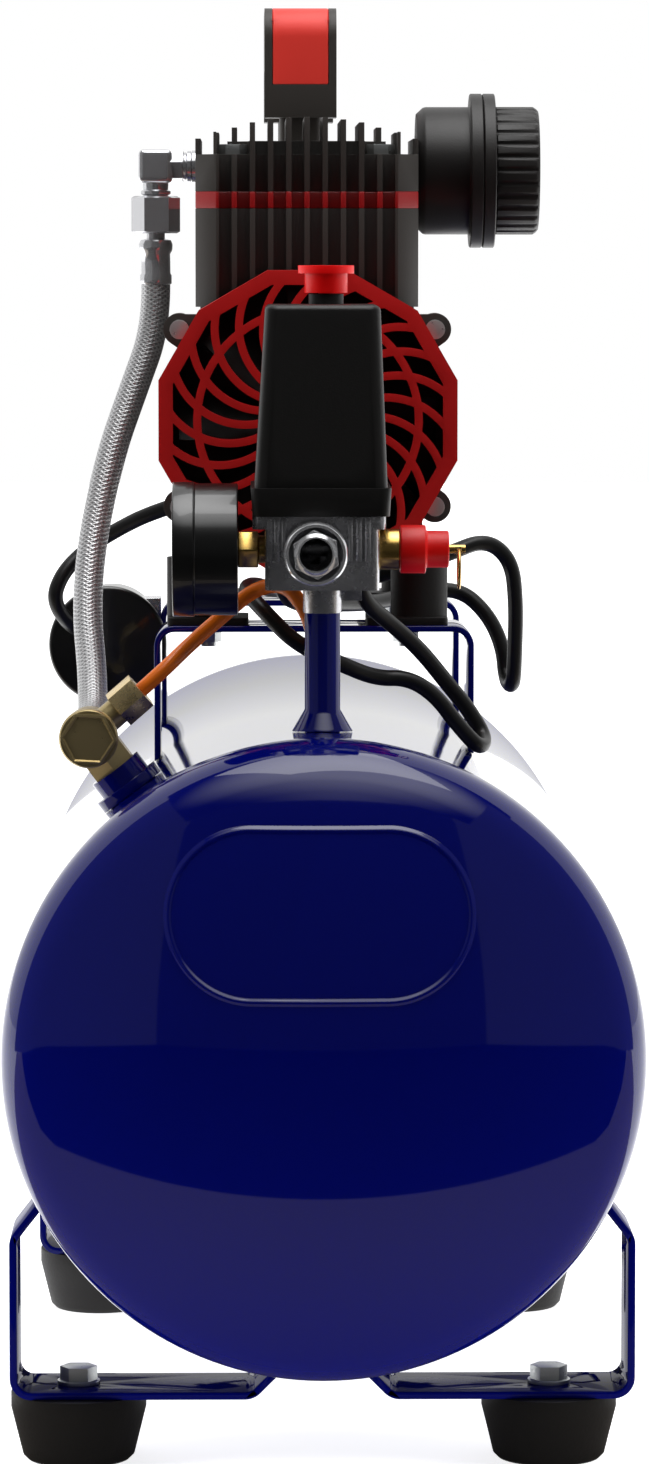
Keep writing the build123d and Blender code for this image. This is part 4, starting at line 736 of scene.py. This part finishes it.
CAP_FRONT = (VALVE.x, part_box("check_valve_cap")[0][1] / MM + 1.6, VALVE.z)
round_cap = [(0, 0.2), (11.0, 0.2), (11.6, -0.6), (11.6, -6.0), (11.0, -7.0), (0, -7.0)]
raised_hexagon = [(0, -0.5), (11.3, -0.5), (11.1, 1.3), (10.2, 1.5), (9.5, 0.7), (0, 0.7)]
turned_piece("check_valve_cap_look", [
    (round_cap, CAP_FRONT, (0, -1, 0), {}),
    (raised_hexagon, CAP_FRONT, (0, -1, 0), {"segments": 6, "turned": 12}),
], BRONZE, ROOT, ("check_valve_cap",))

# ------------------------------------------------------------------ intake filter
FILTER_AXIS = (FILTER_START, CYLINDER_Y, HEAD_PORT_Z)
CAP_AXIS = (FILTER_SPLIT, CYLINDER_Y, HEAD_PORT_Z)
CAP_END = (FILTER_END - 0.45, CYLINDER_Y, HEAD_PORT_Z)
GRIP_RADIUS = 25.5 * MM
GRIP_DEPTH = 0.9 * MM
GRIP_COUNT = 30


def flutes(turn, radius):
    """Grip grooves, on the cap's rim only."""
    if radius < GRIP_RADIUS:
        return 0.0
    wave = max(0.0, math.sin(turn * GRIP_COUNT))
    return GRIP_DEPTH * wave ** 0.5


drum = [
    (0, 0), (23.4, 0), (26.0, 2.8), (26.3, 4), (26.3, 21.5), (26.9, 22.2), (31.4, 22.2),
    (31.8, 22.6), (31.8, 26.8), (31.4, 27.2), (24, 27.2), (24, 3), (0, 3),
]
neck = [(0, -8), (4.5, -8), (4.5, 1), (0, 1)]
turned_piece("filter_body_look", [
    (drum, FILTER_AXIS, AXIS_X, {}),
    (neck, FILTER_AXIS, AXIS_X, {}),
], FILTER_BLACK, ROOT, ("filter_body",))

flange = [(24, 0.3), (31.4, 0.3), (31.8, 0.7), (31.8, 4.8), (31.4, 5.2), (25.4, 5.2)]
grip = [
    (25.4, 5.2), (26.3, 6), (26.3, 21.2), (25.4, 22.6), (24.6, 23.3), (22, 23.3), (21.4, 22.7),
    (9, 22.7), (8.6, 23.2), (0, 23.2),
]
turned_piece("filter_cap_look", [
    (flange, CAP_AXIS, AXIS_X, {}),
    (grip, CAP_AXIS, AXIS_X, {"segments": 240, "ripple": flutes}),
], FILTER_BLACK, "air_cap", ("filter_cap",))

slot_bar = box_mesh("air_slot", (9, 2.6, 0.4), (15, 0, 0))
turned_copies("filter_slots", slot_bar, 8, 0, 45, facing(CAP_END, AXIS_Y, AXIS_Z),
              INK, "air_cap")

# ------------------------------------------------------------------ outlet coupler
COUPLER = (COUPLER_X, 0, PORT_Z)
sleeve = [
    (8.7, -202), (11.6, -202), (12.1, -202.6), (12.1, -205), (11.4, -205.5), (11.4, -206.5),
    (12, -207), (12, -217), (12.3, -217.5), (12.3, -219), (11.6, -220), (10.5, -220),
    (10.5, -215), (8.7, -214),
]
turned_piece("coupler_sleeve_look", [
    (sleeve, COUPLER, AXIS_Y, {}),
], CHROME, "sleeve", ("coupler_sleeve",))

knurl = box_mesh("knurl", (0.7, 0.9, 9), (12, 0, 0))
knurl_place = facing((COUPLER_X, -212, PORT_Z), AXIS_X, AXIS_Z)
turned_copies("sleeve_knurl", knurl, 48, 0, 7.5, knurl_place, CHROME, "sleeve")

socket_tube = [
    (6.35, -222), (7.0, -222), (7.6, -221.4), (8.3, -221), (8.5, -216), (8.5, -197),
    (10.5, -197), (10.5, -196), (5.5, -196), (5.5, -206), (6.35, -208), (6.35, -222),
]
socket_hexagon = [(8.2, -221), (9.3, -221), (9.7, -220.5), (9.7, -215.5), (8.2, -215)]
turned_piece("coupler_body_look", [
    (socket_tube, COUPLER, AXIS_Y, {}),
    (socket_hexagon, COUPLER, AXIS_Y, {"segments": 6, "turned": 10}),
], CHROME, ROOT, ("coupler_body",))

# ------------------------------------------------------------------ gauge face
GAUGE_VIEW = facing((-51.8, MANIFOLD_Y, PORT_Z), (0, -1, 0), AXIS_Z)
DIAL_START = -45
DIAL_SWEEP = 270
FIGURES = 6
FIGURE_STEP = DIAL_SWEEP / (FIGURES - 1)
FIGURE_RING = 14 * MM


def dial_figure(step):
    """One figure of the dial, from its lower left and clockwise."""
    text = bpy.data.curves.new("figure", "FONT")
    text.body = str(2 * step)
    text.size = 5 * MM
    text.align_x = "CENTER"
    text.align_y = "CENTER"
    text.extrude = 0.05 * MM
    source = bpy.data.objects.new("figure", text)
    mesh = bpy.data.meshes.new_from_object(source)
    bpy.data.objects.remove(source)
    turn = math.radians(DIAL_SWEEP + DIAL_START - FIGURE_STEP * step)
    place = (FIGURE_RING * math.cos(turn), FIGURE_RING * math.sin(turn), 0.06 * MM)
    mesh.transform(GAUGE_VIEW @ Matrix.Translation(place))
    new_piece(f"dial_figure_{2 * step}", mesh, INK, ROOT, ())


minor = box_mesh("minor_mark", (1.6, 0.25, 0.12), (19.6, 0, 0))
major = box_mesh("major_mark", (3.0, 0.5, 0.12), (18.9, 0, 0))
turned_copies("dial_minor_marks", minor, 51, DIAL_START, DIAL_SWEEP / 50, GAUGE_VIEW,
              INK, ROOT)
turned_copies("dial_major_marks", major, FIGURES, DIAL_START, FIGURE_STEP, GAUGE_VIEW,
              INK, ROOT)
for step in range(FIGURES):
    dial_figure(step)

# ------------------------------------------------------------------ motor end cover
MOTOR_END = facing((SHAFT_X, MOTOR_END_Y, SHAFT_Z), (-1, 0, 0), AXIS_Z)
# Painted shade: dark bars on the end cover stand in for the shade inside its vent openings.
slot_shade_bar = box_mesh("slot_shade_bar", (16, 4.2, 0.3), (32, 0, -0.1))
turned_copies("motor_vents", slot_shade_bar, 16, 0, 22.5, MOTOR_END, INK, ROOT)

# ------------------------------------------------------------------ stage, light and camera
scene = bpy.context.scene
BLACK_CLOTH = (0.01, 0.01, 0.01)
TABLE_Z = 0.5 * MM
TABLE_EDGE = -0.47
WALL_Y = -3.2
WALL_FOOT = 0.02
FLAG_X = 1.8
CARD_Z = 2.6


def flat_plane(name, corners, colour, roughness, camera=False, glow=0.0, diffuse=True, fade=None):
    """A plane of the studio. Its glow may fade between two distances from its centre."""
    mesh = bpy.data.meshes.new(name)
    mesh.from_pydata([Vector(c) for c in corners], [], [(0, 1, 2, 3)])
    obj = bpy.data.objects.new(name, mesh)
    scene.collection.objects.link(obj)
    s = Shader(name)
    s.set(Base_Color=rgb(*colour), Roughness=roughness, Specular_IOR_Level=0.0)
    mesh.materials.append(s.material)
    s.set(Emission_Color=rgb(1, 1, 1), Emission_Strength=glow)
    if fade:
        centre = sum((Vector(c) for c in corners), Vector()) / 4
        away = s.node("ShaderNodeVectorMath", {0: s.place(), 1: tuple(centre)},
                      output=1, operation="DISTANCE")
        values = {"Value": away, "From Min": fade[0], "From Max": fade[1],
                  "To Min": 1.0, "To Max": 0.0}
        light = s.node("ShaderNodeMapRange", values, interpolation_type="SMOOTHSTEP")
        s.set(Emission_Color=s.blend(light, BLACK_CLOTH, (1, 1, 1)))
    obj.visible_camera = camera
    obj.visible_diffuse = diffuse
    obj.visible_shadow = camera


def level(left, near, right, far, z):
    """Corners of a level rectangle."""
    return [(left, near, z), (right, near, z), (right, far, z), (left, far, z)]


flat_plane("floor", level(-9, -9, 9, 9, 0), (0.95, 0.95, 0.95), 0.9, camera=True, glow=0.8)
flat_plane("dark_table", level(-4, -9, 4, TABLE_EDGE, TABLE_Z), BLACK_CLOTH, 1.0)
flat_plane("near_table", level(-2, TABLE_EDGE, 2, -0.05, TABLE_Z), (0.30, 0.26, 0.22), 1.0,
           diffuse=False)
flat_plane("dark_wall", [(-5, WALL_Y, WALL_FOOT), (5, WALL_Y, WALL_FOOT), (5, WALL_Y, 6),
                         (-5, WALL_Y, 6)], BLACK_CLOTH, 1.0, glow=0.03)
for side in (-1, 1):
    x = side * FLAG_X
    flat_plane(f"side_flag_{side + 1}", [(x, WALL_Y, WALL_FOOT), (x, 0.1, WALL_FOOT), (x, 0.1, 3),
                                         (x, WALL_Y, 3)], BLACK_CLOTH, 1.0, glow=0.14,
               diffuse=False)
flat_plane("top_card", level(-1.6, -2.7, 2.2, 0.5, CARD_Z), BLACK_CLOTH, 1.0, glow=2.6,
           diffuse=False, fade=(0.5, 2.0))

world = bpy.data.worlds.new("studio")
scene.world = world
world.use_nodes = True
background = world.node_tree.nodes["Background"]
background.inputs["Color"].default_value = rgb(1, 1, 1)
background.inputs["Strength"].default_value = 1.0


LIT_POINT = Vector((0, 0, 0.3))


def area_light(name, place, width, height, power, glossy):
    """A soft rectangular light aimed at the middle of the machine."""
    data = bpy.data.lights.new(name, "AREA")
    data.shape = "RECTANGLE"
    data.size = width
    data.size_y = height
    data.energy = power
    obj = bpy.data.objects.new(name, data)
    scene.collection.objects.link(obj)
    obj.visible_glossy = glossy
    obj.location = place
    aim = LIT_POINT - Vector(place)
    obj.rotation_euler = aim.to_track_quat("-Z", "Y").to_euler()


area_light("top_soft", (0.1, -0.2, 2.4), 1.6, 1.6, 26, True)
area_light("left_soft", (-2.2, -0.9, 1.1), 0.7, 1.8, 22, False)
area_light("right_soft", (2.2, -0.9, 1.1), 0.7, 1.8, 18, False)

CAMERA_PLACE = (-0.02843, -2.38994, 0.48423)
CAMERA_DOWN = math.radians(4.955)
CAMERA_YAW = math.radians(-0.758)
CAMERA_LENS = 138.86
camera_data = bpy.data.cameras.new("camera")
camera_data.lens = CAMERA_LENS
camera_data.sensor_width = 36
camera_data.sensor_fit = "AUTO"
camera = bpy.data.objects.new("camera", camera_data)
scene.collection.objects.link(camera)
camera.location = CAMERA_PLACE
camera.rotation_euler = (math.pi / 2 - CAMERA_DOWN, 0, CAMERA_YAW)
scene.camera = camera
scene.view_settings.view_transform = "Standard"
